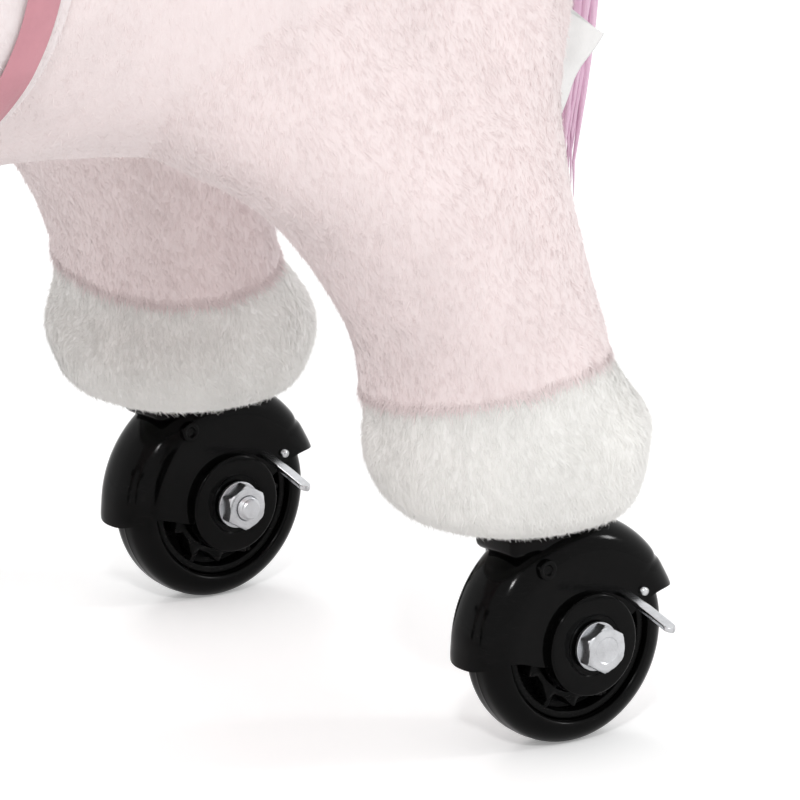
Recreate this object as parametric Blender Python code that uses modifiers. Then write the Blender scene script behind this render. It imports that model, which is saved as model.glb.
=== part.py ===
"""Plush ride on pony: a child's ride on animal with posting legs and ratchet wheels.

The pony faces -X, its left side is -Y and +Z is up. Lengths are in metres. The rider sits on the
saddle and posts up and down: the front and rear leg frames swing apart against their springs,
and the pawls let the wheels roll forward only. The handles turn the neck, the yoke and the front
legs together on the kingpin.
"""
import math

import bmesh
import bpy
from mathutils import Matrix, Vector

PRODUCT = "plush_ride_on_pony"

# Clearances shared by the whole assembly
SEAT_GAP = 0.0003
RUNNING_GAP = 0.0003
PLUSH_GAP = 0.0006
OVERRUN = 0.004
WELD_DISTANCE = 0.00001

# Stance
WHEELBASE = 0.500
TRACK = 0.246
CENTRE_SHIFT = 0.0493

# Wheel
WHEEL_RADIUS = 0.043
TYRE_WIDTH = 0.023
TYRE_CORNER = 0.0085
TYRE_WALL = 0.0105
HUB_WIDTH = 0.0185
HUB_WEB = 0.006
HUB_RIM = 0.003
HUB_CORE_RADIUS = 0.012
HUB_LENGTH = 0.0262
SPOKE_THICKNESS = 0.0024
SPOKE_COUNT = 6
RATCHET_ROOT_RADIUS = 0.0235
RATCHET_TIP_RADIUS = 0.0272
RATCHET_THICKNESS = 0.0022
RATCHET_TEETH = 12
TOOTH_BACK_SHARE = 0.12
TOOTH_GAP_SHARE = 0.52
TOOTH_PHASE_SHARE = 0.32
HUB_STEPS = 16
TYRE_STEPS = 26

# Fork with its fender
FORK_GAP = 0.027
FORK_WALL = 0.0035
FENDER_RADIUS = 0.0490
FENDER_WALL = 0.0028
FRONT_SKIRT_DROP = 0.0060
REAR_SKIRT_RISE = 0.0150
BOSS_RADIUS = 0.0205
BOSS_HEIGHT = 0.0035
CHEEK_FOOT_RADIUS = 0.0188
SCREW_BOSS_RADIUS = 0.0035
SCREW_BOSS_HEIGHT = 0.0012
SCREW_BOSS_X_SHARE = 0.42
SCREW_BOSS_Z_SHARE = 0.68
CROWN_LENGTH = 0.050
CROWN_HEIGHT = 0.026
CROWN_TOP = 0.103
STEM_TRAIL = 0.020

# Axle bolt
AXLE_RADIUS = 0.005
AXLE_HEX = 0.017
AXLE_HEAD_HEIGHT = 0.0064
WASHER_RADIUS = 0.0098
WASHER_THICKNESS = 0.0016
BOLT_TAIL = 0.0030

# Pawl with its lever
PAWL_PIN_X = 0.0262
PAWL_PIN_Z = 0.0168
PAWL_PIN_RADIUS = 0.0020
PAWL_PLATE = 0.0011
PAWL_HALF_WIDTH = 0.0038
PAWL_NOSE_X = 0.0120
PAWL_NOSE_Z = 0.0241
PAWL_NOSE_RADIUS = 0.0017
LEVER_X = 0.0150
LEVER_Z = 0.0180
LEVER_LENGTH = 0.033
LEVER_WIDTH = 0.0052
LEVER_THICKNESS = 0.0022
LEVER_DROOP = 0.0026
LEVER_SLOT_X = 0.0100
LEVER_SLOT_Z = 0.0082

# Pivots of the leg frames and the kingpin
REAR_PIVOT_X = 0.120
REAR_PIVOT_Z = 0.500
FRONT_PIVOT_X = 0.190
FRONT_PIVOT_Z = 0.400
PIVOT_BOLT_RADIUS = 0.005
PIVOT_SLEEVE_RADIUS = 0.011
PIVOT_SLEEVE_HALF = 0.0355
EAR_THICKNESS = 0.005
EAR_RADIUS = 0.013
BOLT_HEAD_HEIGHT = 0.0065
BOLT_HEAD_RADIUS = 0.0095
SWING_WEDGE_DEGREES = 9.0

# Leg frames
LEG_TUBE_RADIUS = 0.0125
CROSS_TUBE_RADIUS = 0.0125
REAR_CROSS_X = 0.137
REAR_CROSS_Z = 0.442
FRONT_CROSS_X = 0.205
FRONT_CROSS_Z = 0.345
CROSS_HALF = 0.092
ARM_THICKNESS = 0.006
ARM_OFFSET = 0.029
FLANGE_LENGTH = 0.046
FLANGE_WIDTH = 0.034
FLANGE_THICKNESS = 0.004
FOOT_STRUT_RADIUS = 0.0062
FOOTREST_LENGTH = 0.076
FOOTREST_WIDTH = 0.074
FOOTREST_HEIGHT = 0.016
FOOTREST_Z = 0.188
FOOTREST_X = 0.158
FOOTREST_SPREAD = 0.138
TREAD_COUNT = 4
TREAD_DEPTH = 0.003
TREAD_GROOVE = 0.006
FOOT_STRUT_REACH = 0.034

# Springs round the pivot sleeves
SPRING_WIRE = 0.0016
SPRING_COIL_RADIUS = 0.0142
SPRING_HALF = 0.0215
SPRING_CURLS = 6
POINTS_PER_CURL = 8

# Spine, head tube, yoke and seat board
SPINE_WIDTH = 0.040
SPINE_HEIGHT = 0.022
SPINE_Z = 0.523
HEAD_TUBE_RADIUS = 0.019
HEAD_TUBE_HALF = 0.020
KINGPIN_RADIUS = 0.012
KINGPIN_TOP = 0.575
YOKE_PLATE = 0.010
YOKE_HALF_LENGTH = 0.020
BEAM_END_SHARE = 1.6
SEAT_BOARD_FRONT = 0.095
SEAT_BOARD_REAR = 0.100
SEAT_BOARD_HALF_WIDTH = 0.052
SEAT_BOARD_THICKNESS = 0.009

# Plush body
BODY_FRONT = 0.318
BODY_REAR = 0.288
BODY_TOP = 0.578
BODY_HALF_WIDTH = 0.150
BODY_SQUARENESS = 2.5
BODY_WALL = 0.009
BODY_POINTS = 24
# Each row gives the place along the body, the top, the underside and the half width.
BODY_SHARES = (
    (0.000, 0.745, 0.640, 0.20),
    (0.012, 0.815, 0.565, 0.43),
    (0.045, 0.885, 0.480, 0.62),
    (0.100, 0.950, 0.450, 0.75),
    (0.180, 0.990, 0.425, 0.81),
    (0.270, 1.000, 0.418, 0.88),
    (0.380, 0.995, 0.413, 0.95),
    (0.500, 0.985, 0.410, 0.99),
    (0.620, 0.982, 0.410, 1.00),
    (0.740, 0.982, 0.413, 1.00),
    (0.840, 0.970, 0.417, 0.96),
    (0.915, 0.935, 0.425, 0.86),
    (0.962, 0.880, 0.435, 0.71),
    (0.988, 0.815, 0.455, 0.54),
    (1.000, 0.745, 0.480, 0.34),
)
TURN_RADIUS = 0.139
TURN_CLEARANCE = 0.0046
TURN_POINTS = 20
DOME_POINTS = 4
PLINTH_TOP_RADIUS = 0.086
PLINTH_FOOT_RADIUS = 0.112
PLINTH_FOOT_Z = 0.520
PLINTH_TOP_Z = 0.578
POST_HOLE_RADIUS = 0.0205

# Plush legs: each row is height, setback from the axle line, half length, offset to the middle and half width
LEG_SEAM_FRONT_Z = 0.144
LEG_SEAM_REAR_Z = 0.166
LEG_POINTS = 18
HOOF_HALF_LENGTH = 0.0535
HOOF_HALF_WIDTH = 0.0530
HOOF_BOTTOM_Z = 0.0905
HOOF_POCKET_GAP = 0.0010
LEG_HEIGHT = 0.350
LEG_SETBACK = 0.100
HOOF_LEAN_SHARE = 0.20
LEG_HALF_LENGTH = 0.112
LEG_INSET = 0.043
LEG_SPLAY = 0.010
LEG_HALF_WIDTH = 0.056
REAR_LEG_SHARES = (
    (0.380, 0.33, 0.455, 0.00, 0.955),
    (0.470, 0.39, 0.450, 0.00, 0.950),
    (0.560, 0.50, 0.485, 0.04, 0.955),
    (0.640, 0.64, 0.590, 0.14, 0.965),
    (0.720, 0.79, 0.745, 0.34, 0.980),
    (0.820, 0.89, 0.890, 0.62, 1.000),
    (0.930, 0.92, 0.940, 0.90, 1.000),
)
FRONT_LEG_SHARES = (
    (0.380, 0.12, 0.455, 0.00, 0.955),
    (0.470, 0.06, 0.450, 0.04, 0.950),
    (0.560, -0.03, 0.455, 0.16, 0.920),
    (0.640, -0.10, 0.465, 0.38, 0.880),
    (0.720, -0.18, 0.480, 0.62, 0.850),
    (0.820, -0.28, 0.480, 0.86, 0.800),
    (0.930, -0.38, 0.480, 1.02, 0.760),
)
HOOF_SHARES = (
    (0.00, 0.76),
    (0.07, 0.88),
    (0.22, 0.98),
    (0.45, 1.02),
    (1.00, 0.955),
)

# Neck and head
NECK_POINTS = 18
NECK_GAP = 0.0006
NECK_HEIGHT = 0.240
NECK_REACH = 0.085
NECK_RADIUS = 0.086
NECK_SHARES = (
    (0.00, 0.00, 1.00, 1.00),
    (0.10, 0.06, 1.01, 0.96),
    (0.30, 0.25, 0.95, 0.82),
    (0.52, 0.50, 0.83, 0.71),
    (0.74, 0.78, 0.74, 0.65),
    (0.90, 0.94, 0.64, 0.58),
    (0.975, 0.99, 0.45, 0.42),
    (1.00, 1.00, 0.20, 0.20),
)
HEAD_LENGTH = 0.210
HEAD_RADIUS = 0.066
HEAD_TOP_X = 0.270
HEAD_TOP_Z = 0.812
HEAD_PITCH_DEGREES = 35.0
HEAD_SHARES = (
    (0.00, 0.28, 0.28, 0.00),
    (0.03, 0.56, 0.53, 0.00),
    (0.12, 0.88, 0.82, -0.02),
    (0.28, 1.00, 0.93, -0.06),
    (0.46, 0.89, 0.84, -0.06),
    (0.63, 0.72, 0.69, -0.03),
    (0.78, 0.69, 0.67, -0.02),
    (0.90, 0.70, 0.69, -0.03),
    (0.97, 0.55, 0.54, -0.03),
    (1.00, 0.26, 0.26, -0.03),
)
HEAD_POINTS = 18
EAR_LENGTH = 0.070
EAR_RADIUS_AT_BASE = 0.020
EAR_HOLLOW = 0.0055
EAR_SPREAD = 0.036
EAR_BASE_X = 0.300
EAR_BASE_Z = 0.848
EAR_SINK = 0.016
EYE_RADIUS = 0.0130
EYE_ALONG_SHARE = 0.36
EYE_SPREAD = 0.0530
EYE_LIFT = 0.0210
BAND_WIDTH = 0.012
BAND_THICKNESS = 0.0028
NOSEBAND_SHARE = 0.70
MANE_HALF_WIDTH = 0.017
MANE_DEPTH = 0.026
MANE_LOBES = 7
MANE_FOOT_SHARE = 0.20

# Handles
BAR_RADIUS = 0.0095
BAR_HALF_LENGTH = 0.158
BAR_X = 0.232
BAR_Z = 0.700
GRIP_RADIUS = 0.0150
GRIP_LENGTH = 0.085
GRIP_FLANGE_RADIUS = 0.0195
GRIP_FLANGE_LENGTH = 0.006
GRIP_RIBS = 5
POST_RADIUS = 0.0155
POST_TOP_Z = 0.752
POST_TOP_X = 0.258
POST_KINK_Z = 0.620

# Saddle
CLOTH_GAP = 0.0006
CLOTH_THICKNESS = 0.0050
CLOTH_FRONT = 0.099
CLOTH_REAR_TOP = 0.092
CLOTH_FLAP_REAR = 0.0048
CLOTH_FLAP_CENTRE = 0.0471
CLOTH_BOTTOM_Z = 0.262
CLOTH_BOW_SHARE = 1.8
CLOTH_TOP_Z = 0.620
CLOTH_SHOULDER_Z = 0.500
RIBBON_WIDTH = 0.014
RIBBON_THICKNESS = 0.0014
SEAT_FRONT = 0.080
SEAT_REAR = 0.116
SEAT_HALF_WIDTH = 0.088
SEAT_CROWN = 0.030
SEAT_POMMEL = 0.030
SEAT_CANTLE = 0.034
SEAT_SKIRT_Z = 0.535
SEAT_CHANNEL_DEPTH = 0.0035
SEAT_CHANNELS = 4

# Tail and care label
TAIL_ROOT_X = 0.279
TAIL_ROOT_Z = 0.402
TAIL_LENGTH = 0.190
TAIL_RADIUS = 0.030
TAIL_BOW = 0.054
TAIL_POINTS = 14
LABEL_X = 0.272
LABEL_Y = 0.078
LABEL_TOP_Z = 0.302
LABEL_LENGTH = 0.058
LABEL_WIDTH = 0.026
LABEL_THICKNESS = 0.0012


# Scene set-up and shared tools

for leftover in list(bpy.data.objects):
    bpy.data.objects.remove(leftover, do_unlink=True)

PARTS = bpy.data.collections.new(PRODUCT)
CUTTERS = bpy.data.collections.new("cutters")
bpy.context.scene.collection.children.link(PARTS)
bpy.context.scene.collection.children.link(CUTTERS)


def finish(name, color, roughness, metallic=0.0):
    """Return a Principled material."""
    material = bpy.data.materials.new(name)
    material.use_nodes = True
    shader = material.node_tree.nodes["Principled BSDF"]
    shader.inputs["Base Color"].default_value = (*color, 1.0)
    shader.inputs["Roughness"].default_value = roughness
    shader.inputs["Metallic"].default_value = metallic
    return material


PINK_PLUSH = (0.83, 0.73, 0.73)
IVORY_PLUSH = (0.84, 0.83, 0.79)
HAIR_PINK = (0.76, 0.46, 0.62)
ROSE_RIBBON = (0.55, 0.24, 0.30)
BLACK_PLASTIC = (0.015, 0.015, 0.017)
TYRE_BLACK = (0.020, 0.020, 0.020)
ZINC = (0.62, 0.63, 0.65)
STEEL = (0.50, 0.51, 0.53)
FRAME_GREY = (0.10, 0.10, 0.11)
PLYWOOD = (0.62, 0.45, 0.27)
LABEL_WHITE = (0.88, 0.88, 0.87)
EYE_BROWN = (0.06, 0.03, 0.02)


def link(name, mesh, parent, material=None, location=(0, 0, 0), cutter=False):
    """Put a mesh in the scene as an object under its parent."""
    obj = bpy.data.objects.new(name, mesh)
    (CUTTERS if cutter else PARTS).objects.link(obj)
    obj.parent = parent
    obj.location = location
    if cutter:
        obj.hide_render = True
        obj.display_type = "WIRE"
    if material:
        mesh.materials.append(material)
    return obj


def empty(name, location, parent=None):
    """Return an empty that carries a body."""
    obj = bpy.data.objects.new(name, None)
    PARTS.objects.link(obj)
    obj.parent = parent
    obj.location = location
    return obj


def to_mesh(name, bm):
    """Close a bmesh into a mesh with its normals pointing out."""
    bmesh.ops.recalc_face_normals(bm, faces=bm.faces)
    mesh = bpy.data.meshes.new(name)
    bm.to_mesh(mesh)
    bm.free()
    return mesh


def block(name, size, centre=(0, 0, 0)):
    """Return a box mesh."""
    bm = bmesh.new()
    bmesh.ops.create_cube(bm, size=1, matrix=Matrix.Translation(centre) @ Matrix.Diagonal((*size, 1)))
    return to_mesh(name, bm)


def rod(name, radius, start, end, segments=20, end_radius=None):
    """Return a cylinder or cone mesh between two points."""
    start, end = Vector(start), Vector(end)
    turn = (end - start).to_track_quat("Z", "Y").to_matrix().to_4x4()
    bm = bmesh.new()
    bmesh.ops.create_cone(bm, cap_ends=True, segments=segments, radius1=radius,
                          radius2=radius if end_radius is None else end_radius,
                          depth=(end - start).length,
                          matrix=Matrix.Translation((start + end) / 2) @ turn)
    return to_mesh(name, bm)


def ball(name, radius, centre, segments=24, rings=14):
    """Return a sphere mesh."""
    bm = bmesh.new()
    bmesh.ops.create_uvsphere(bm, u_segments=segments, v_segments=rings, radius=radius,
                              matrix=Matrix.Translation(centre))
    return to_mesh(name, bm)


def loft(name, rings, closed=False):
    """Join rings of points into one skin, with flat ends unless the rings close on themselves."""
    bm = bmesh.new()
    rows = [[bm.verts.new(point) for point in ring] for ring in rings]
    count = len(rows[0])
    pairs = list(zip(rows, rows[1:]))
    if closed:
        pairs.append((rows[-1], rows[0]))
    for low, high in pairs:
        for i in range(count):
            j = (i + 1) % count
            bm.faces.new((low[i], low[j], high[j], high[i]))
    if not closed:
        bm.faces.new(rows[0])
        bm.faces.new(rows[-1])
    return to_mesh(name, bm)


def from_curve(name, curve):
    """Turn a curve into a clean mesh and remove the curve."""
    source = bpy.data.objects.new(name, curve)
    CUTTERS.objects.link(source)
    graph = bpy.context.evaluated_depsgraph_get()
    mesh = bpy.data.meshes.new_from_object(source.evaluated_get(graph))
    bpy.data.objects.remove(source, do_unlink=True)
    bm = bmesh.new()
    bm.from_mesh(mesh)
    bmesh.ops.remove_doubles(bm, verts=bm.verts, dist=WELD_DISTANCE)
    mesh.materials.clear()
    bmesh.ops.recalc_face_normals(bm, faces=bm.faces)
    bm.to_mesh(mesh)
    bm.free()
    return mesh


def plate(name, outline, low, high):
    """Extrude an outline in X and Z along Y, from low to high."""
    curve = bpy.data.curves.new(name, "CURVE")
    curve.dimensions = "2D"
    curve.fill_mode = "BOTH"
    curve.extrude = (high - low) / 2
    spline = curve.splines.new("POLY")
    spline.points.add(len(outline) - 1)
    for point, (x, z) in zip(spline.points, outline):
        point.co = (x, z, 0, 1)
    spline.use_cyclic_u = True
    mesh = from_curve(name, curve)
    stand = Matrix.Translation((0, (low + high) / 2, 0)) @ Matrix.Rotation(math.pi / 2, 4, "X")
    mesh.transform(stand)
    return mesh


def tube(name, points, radius, resolution=2):
    """Return a round bar along points, with closed ends."""
    curve = bpy.data.curves.new(name, "CURVE")
    curve.dimensions = "3D"
    curve.bevel_depth = radius
    curve.bevel_resolution = resolution
    curve.use_fill_caps = True
    spline = curve.splines.new("POLY")
    spline.points.add(len(points) - 1)
    for point, co in zip(spline.points, points):
        point.co = (*co, 1)
    return from_curve(name, curve)


def lathe(name, profile, parent, material=None, location=(0, 0, 0), steps=36, cutter=False, closed=True):
    """Turn a profile of radius and place along Y about the Y axis with a Screw modifier."""
    bm = bmesh.new()
    verts = [bm.verts.new((0, y, radius)) for radius, y in profile]
    for a, b in zip(verts, verts[1:]):
        bm.edges.new((a, b))
    if closed:
        bm.edges.new((verts[-1], verts[0]))
    mesh = bpy.data.meshes.new(name)
    bm.to_mesh(mesh)
    bm.free()
    obj = link(name, mesh, parent, material, location, cutter)
    screw = obj.modifiers.new("turn", "SCREW")
    screw.axis = "Y"
    screw.steps = steps
    screw.render_steps = steps
    screw.use_merge_vertices = True
    screw.merge_threshold = WELD_DISTANCE
    screw.use_normal_calculate = True
    return obj


def shape(target, tool, operation="DIFFERENCE"):
    """Cut, join or trim a piece with a tool object."""
    modifier = target.modifiers.new(operation.lower(), "BOOLEAN")
    modifier.operation = operation
    modifier.solver = "EXACT"
    modifier.object = tool
    return target


def tool(mesh, parent, location=(0, 0, 0)):
    """Return a hidden tool object for a Boolean."""
    return link(mesh.name, mesh, parent, None, location, cutter=True)


def arc(centre, radius, start, end, count):
    """Return points on an arc from start to end, in degrees."""
    return [(centre[0] + radius * math.cos(math.radians(start + (end - start) * i / count)),
             centre[1] + radius * math.sin(math.radians(start + (end - start) * i / count)))
            for i in range(count + 1)]


def oval(centre, half_a, half_b, axis_a, axis_b, count, power=2.0):
    """Return a ring of points on a superellipse between two axes."""
    centre, axis_a, axis_b = Vector(centre), Vector(axis_a), Vector(axis_b)
    points = []
    for i in range(count):
        angle = 2 * math.pi * (i + 0.5) / count
        c, s = math.cos(angle), math.sin(angle)
        ca = math.copysign(abs(c) ** (2 / power), c)
        sb = math.copysign(abs(s) ** (2 / power), s)
        points.append(centre + axis_a * (half_a * ca) + axis_b * (half_b * sb))
    return points


X_AXIS, Y_AXIS, Z_AXIS = (1, 0, 0), (0, 1, 0), (0, 0, 1)


# Wheel units

HUB_HALF = HUB_WIDTH / 2
TYRE_HALF = TYRE_WIDTH / 2
BORE_RADIUS = WHEEL_RADIUS - TYRE_WALL
CHEEK_IN = FORK_GAP / 2
CHEEK_OUT = CHEEK_IN + FORK_WALL
BOSS_FACE = CHEEK_OUT + BOSS_HEIGHT


def make_tyre(name, hub_place):
    """A solid black tyre with rounded shoulders, pressed on the hub."""
    corner = [(WHEEL_RADIUS - TYRE_CORNER + r, y) for r, y in arc((0, TYRE_HALF - TYRE_CORNER), TYRE_CORNER, 90, 0, 2)]
    other = [(WHEEL_RADIUS - TYRE_CORNER + r, y) for r, y in arc((0, TYRE_CORNER - TYRE_HALF), TYRE_CORNER, 0, -90, 2)]
    profile = [(BORE_RADIUS, TYRE_HALF), *corner, *other, (BORE_RADIUS, -TYRE_HALF)]
    return lathe(name, profile, hub_place, finish(name, TYRE_BLACK, 0.38), steps=TYRE_STEPS)


def make_hub(name, hub_place):
    """A moulded hub: web, rim, spokes both sides, bearing core and the ratchet ring on the left."""
    seat = BORE_RADIUS - SEAT_GAP
    web = HUB_WEB / 2
    core = HUB_LENGTH / 2 - RUNNING_GAP
    bore = AXLE_RADIUS + RUNNING_GAP
    profile = [(bore, core), (HUB_CORE_RADIUS, core), (HUB_CORE_RADIUS, web), (seat - HUB_RIM, web),
               (seat - HUB_RIM, HUB_HALF), (seat, HUB_HALF), (seat, -HUB_HALF),
               (seat - HUB_RIM, -HUB_HALF), (seat - HUB_RIM, -web), (HUB_CORE_RADIUS, -web),
               (HUB_CORE_RADIUS, -core), (bore, -core)]
    hub = lathe(name, profile, hub_place, finish(name, BLACK_PLASTIC, 0.45), steps=HUB_STEPS)
    spoke_out = seat - HUB_RIM / 2
    spoke_in = HUB_CORE_RADIUS - SPOKE_THICKNESS / 2
    bm = bmesh.new()
    for i in range(SPOKE_COUNT // 2):
        turn = Matrix.Rotation(2 * math.pi * i / (SPOKE_COUNT // 2), 4, "Y")
        centre = Matrix.Translation(((spoke_in + spoke_out) / 2, 0, 0))
        size = Matrix.Diagonal((spoke_out - spoke_in, HUB_WIDTH - SPOKE_THICKNESS, SPOKE_THICKNESS, 1))
        bmesh.ops.create_cube(bm, size=1, matrix=turn @ centre @ size)
    shape(hub, tool(to_mesh(name + "_spokes", bm), hub_place), "UNION")
    teeth = []
    for i in range(RATCHET_TEETH):
        start = 360 * i / RATCHET_TEETH
        step = 360 / RATCHET_TEETH
        teeth += [(RATCHET_TIP_RADIUS, start), (RATCHET_ROOT_RADIUS, start + step * TOOTH_BACK_SHARE),
                  (RATCHET_ROOT_RADIUS, start + step * TOOTH_GAP_SHARE)]
    ring = [(r * math.cos(math.radians(a + RATCHET_PHASE)), r * math.sin(math.radians(a + RATCHET_PHASE)))
            for r, a in teeth]
    ratchet = plate(name + "_ratchet", ring, -HUB_HALF - RATCHET_THICKNESS, -web + RATCHET_THICKNESS / 2)
    ratchet_tool = tool(ratchet, hub_place)
    inner = RATCHET_ROOT_RADIUS - RATCHET_THICKNESS
    shape(ratchet_tool, tool(rod(name + "_ratchet_bore", inner, (0, -CHEEK_OUT, 0), (0, CHEEK_OUT, 0), HUB_STEPS), hub_place))
    return shape(hub, ratchet_tool, "UNION")


RATCHET_PHASE = math.degrees(math.atan2(PAWL_NOSE_Z, PAWL_NOSE_X)) - 360 / RATCHET_TEETH * TOOTH_PHASE_SHARE


def fender_outline(radius):
    """Side outline of the fender: front skirt, arch, rear skirt and the cheek down to the boss."""
    front_low = -math.degrees(math.asin(FRONT_SKIRT_DROP / radius))
    rear_low = math.degrees(math.asin(REAR_SKIRT_RISE / radius))
    arch = arc((0, 0), radius, 180 - front_low, rear_low, 14)
    return [*arch, *arc((0, 0), CHEEK_FOOT_RADIUS, 20, -200, 10)]


def make_fork(name, axle_place):
    """A moulded fork with its domed fender, boss discs, crown and a slot for the lever."""
    outline = fender_outline(FENDER_RADIUS)
    fork = link(name, plate(name, outline, -CHEEK_OUT, CHEEK_OUT), axle_place, finish(name, BLACK_PLASTIC, 0.16))
    dome = []
    for i in range(DOME_POINTS + 1):
        angle = math.pi * i / DOME_POINTS
        dome.append((FENDER_RADIUS - CHEEK_OUT + CHEEK_OUT * math.sin(angle) + (CHEEK_OUT - FENDER_WALL) * 0.25,
                     CHEEK_OUT * 1.02 * math.cos(angle)))
    dome = [(0, CHEEK_OUT * 1.02), *dome, (0, -CHEEK_OUT * 1.02)]
    dome_tool = lathe(name + "_dome", dome, axle_place, steps=20, cutter=True, closed=False)
    shape(fork, dome_tool, "INTERSECT")
    crown = block(name + "_crown", (CROWN_LENGTH, 2 * CHEEK_IN, CROWN_HEIGHT),
                  (-STEM_TRAIL / 2, 0, CROWN_TOP - WHEEL_RADIUS - CROWN_HEIGHT / 2 - SEAT_GAP))
    shape(fork, tool(crown, axle_place), "UNION")
    inner = FENDER_RADIUS - FENDER_WALL
    well = [(0, CHEEK_IN), (inner - TYRE_CORNER, CHEEK_IN), (inner, CHEEK_IN - TYRE_CORNER),
            (inner, TYRE_CORNER - CHEEK_IN), (inner - TYRE_CORNER, -CHEEK_IN), (0, -CHEEK_IN)]
    shape(fork, lathe(name + "_well", well, axle_place, steps=20, cutter=True, closed=False))
    for side in (-1, 1):
        start = (0, side * (CHEEK_IN + FORK_WALL / 2), 0)
        shape(fork, tool(rod(name + "_boss", BOSS_RADIUS, start, (0, side * BOSS_FACE, 0), 18), axle_place), "UNION")
    screw_x, screw_z = -FENDER_RADIUS * SCREW_BOSS_X_SHARE, FENDER_RADIUS * SCREW_BOSS_Z_SHARE
    screw = rod(name + "_screw", SCREW_BOSS_RADIUS, (screw_x, -CHEEK_IN - FORK_WALL / 2, screw_z),
                (screw_x, -CHEEK_OUT - SCREW_BOSS_HEIGHT, screw_z), 10)
    shape(fork, tool(screw, axle_place), "UNION")
    shape(fork, tool(rod(name + "_bore", AXLE_RADIUS + RUNNING_GAP, (0, -BOSS_FACE - OVERRUN, 0),
                         (0, BOSS_FACE + OVERRUN, 0), 12), axle_place))
    slot = block(name + "_slot", (LEVER_SLOT_X, FORK_WALL + BOSS_HEIGHT + OVERRUN, LEVER_SLOT_Z),
                 (LEVER_X, -CHEEK_IN - (FORK_WALL + BOSS_HEIGHT) / 2, LEVER_Z))
    shape(fork, tool(slot, axle_place))
    pin = rod(name + "_pin_bore", PAWL_PIN_RADIUS + RUNNING_GAP, (PAWL_PIN_X, -CHEEK_OUT - OVERRUN, PAWL_PIN_Z),
              (PAWL_PIN_X, -CHEEK_IN + OVERRUN, PAWL_PIN_Z), 10)
    shape(fork, tool(pin, axle_place))
    return fork


def axle_bolt(name, axle_place, outboard):
    """One hex bolt through the fork: head and washer outboard, nut, washer and tail inboard."""
    face = BOSS_FACE + SEAT_GAP
    head_end = face + WASHER_THICKNESS + AXLE_HEAD_HEIGHT
    bolt = link(name, rod(name, AXLE_RADIUS, (0, outboard * (head_end - BOLT_TAIL), 0),
                          (0, -outboard * (head_end + BOLT_TAIL), 0), 10), axle_place, finish(name, ZINC, 0.35, 0.9))
    for side in (-1, 1):
        washer = rod(name + "_washer", WASHER_RADIUS, (0, side * face, 0),
                     (0, side * (face + WASHER_THICKNESS), 0), 12)
        shape(bolt, tool(washer, axle_place), "UNION")
        hexagon = rod(name + "_hex", AXLE_HEX / math.sqrt(3), (0, side * (face + WASHER_THICKNESS / 2), 0),
                      (0, side * head_end, 0), 6)
        shape(bolt, tool(hexagon, axle_place), "UNION")
    return bolt


def make_pawl(name, pawl_place):
    """A pawl plate hinged on its pin in the cheek, with a nose in the ratchet and a flat lever out."""
    plate_out = -CHEEK_IN + RUNNING_GAP
    plate_in = plate_out + PAWL_PLATE
    nose = Vector((PAWL_NOSE_X - PAWL_PIN_X, 0, PAWL_NOSE_Z - PAWL_PIN_Z))
    along = nose.normalized()
    across = Vector((-along.z, 0, along.x))
    heel = math.degrees(math.atan2(-across.z, -across.x))
    ends = [(p[0], p[1]) for p in arc((0, 0), PAWL_HALF_WIDTH, heel, heel - 180, 4)]
    tip = [(nose.x + p[0], nose.z + p[1]) for p in arc((0, 0), PAWL_HALF_WIDTH, heel - 180, heel - 360, 4)]
    pawl = link(name, plate(name, [*ends, *tip], plate_out, plate_in) if plate_out < plate_in else
                plate(name, [*ends, *tip], plate_in, plate_out), pawl_place, finish(name, STEEL, 0.22, 1.0))
    nose_end = -HUB_HALF - SEAT_GAP
    shape(pawl, tool(rod(name + "_nose", PAWL_NOSE_RADIUS, (nose.x, plate_out + PAWL_PLATE / 2, nose.z),
                         (nose.x, nose_end, nose.z), 6), pawl_place), "UNION")
    shape(pawl, tool(rod(name + "_pin", PAWL_PIN_RADIUS, (0, plate_in - PAWL_PLATE / 2, 0),
                         (0, -CHEEK_OUT - SCREW_BOSS_HEIGHT, 0), 10), pawl_place), "UNION")
    root = Vector((LEVER_X - PAWL_PIN_X, plate_in - PAWL_PLATE / 2, LEVER_Z - PAWL_PIN_Z))
    reach = -BOSS_FACE - LEVER_LENGTH
    rings = []
    for share, width in ((0.0, 0.86), (0.42, 0.90), (0.50, 1.0), (0.93, 1.0), (0.985, 0.72), (1.0, 0.40)):
        centre = root.lerp(Vector((root.x, reach, root.z - LEVER_DROOP)), share)
        rings.append(oval(centre, LEVER_WIDTH / 2 * width, LEVER_THICKNESS / 2, X_AXIS, Z_AXIS, 8, 4.0))
    shape(pawl, tool(loft(name + "_lever", rings), pawl_place), "UNION")
    return pawl


def wheel_unit(end, side_name, x, y, leg_place):
    """Build one fork, its wheel, bolt and pawl, all at one axle."""
    side = -1 if side_name == "left" else 1
    tag = end + "_" + side_name
    axle = empty("axle_" + tag, (x, y, WHEEL_RADIUS - leg_place.location.z), leg_place)
    make_tyre("tyre_" + tag, axle)
    make_hub("hub_" + tag, axle)
    make_fork("fork_" + tag, axle)
    pawl_place = empty("pawl_pivot_" + tag, (PAWL_PIN_X, 0, PAWL_PIN_Z), axle)
    make_pawl("pawl_" + tag, pawl_place)
    return axle_bolt("axle_bolt_" + tag, axle, side)


# Plush forms

def body_skin(name, offset):
    """Loft the whole body, grown or shrunk by an offset."""
    rings = []
    for along, top, under, width in BODY_SHARES:
        x = -BODY_FRONT + along * (BODY_FRONT + BODY_REAR)
        high, low = top * BODY_TOP, under * BODY_TOP
        push = offset * (2 * along - 1) if along in (0.0, 1.0) else 0
        rings.append(oval((x + push, 0, (high + low) / 2), width * BODY_HALF_WIDTH + offset, (high - low) / 2 + offset,
                          Y_AXIS, Z_AXIS, BODY_POINTS, BODY_SQUARENESS))
    return loft(name, rings)


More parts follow.
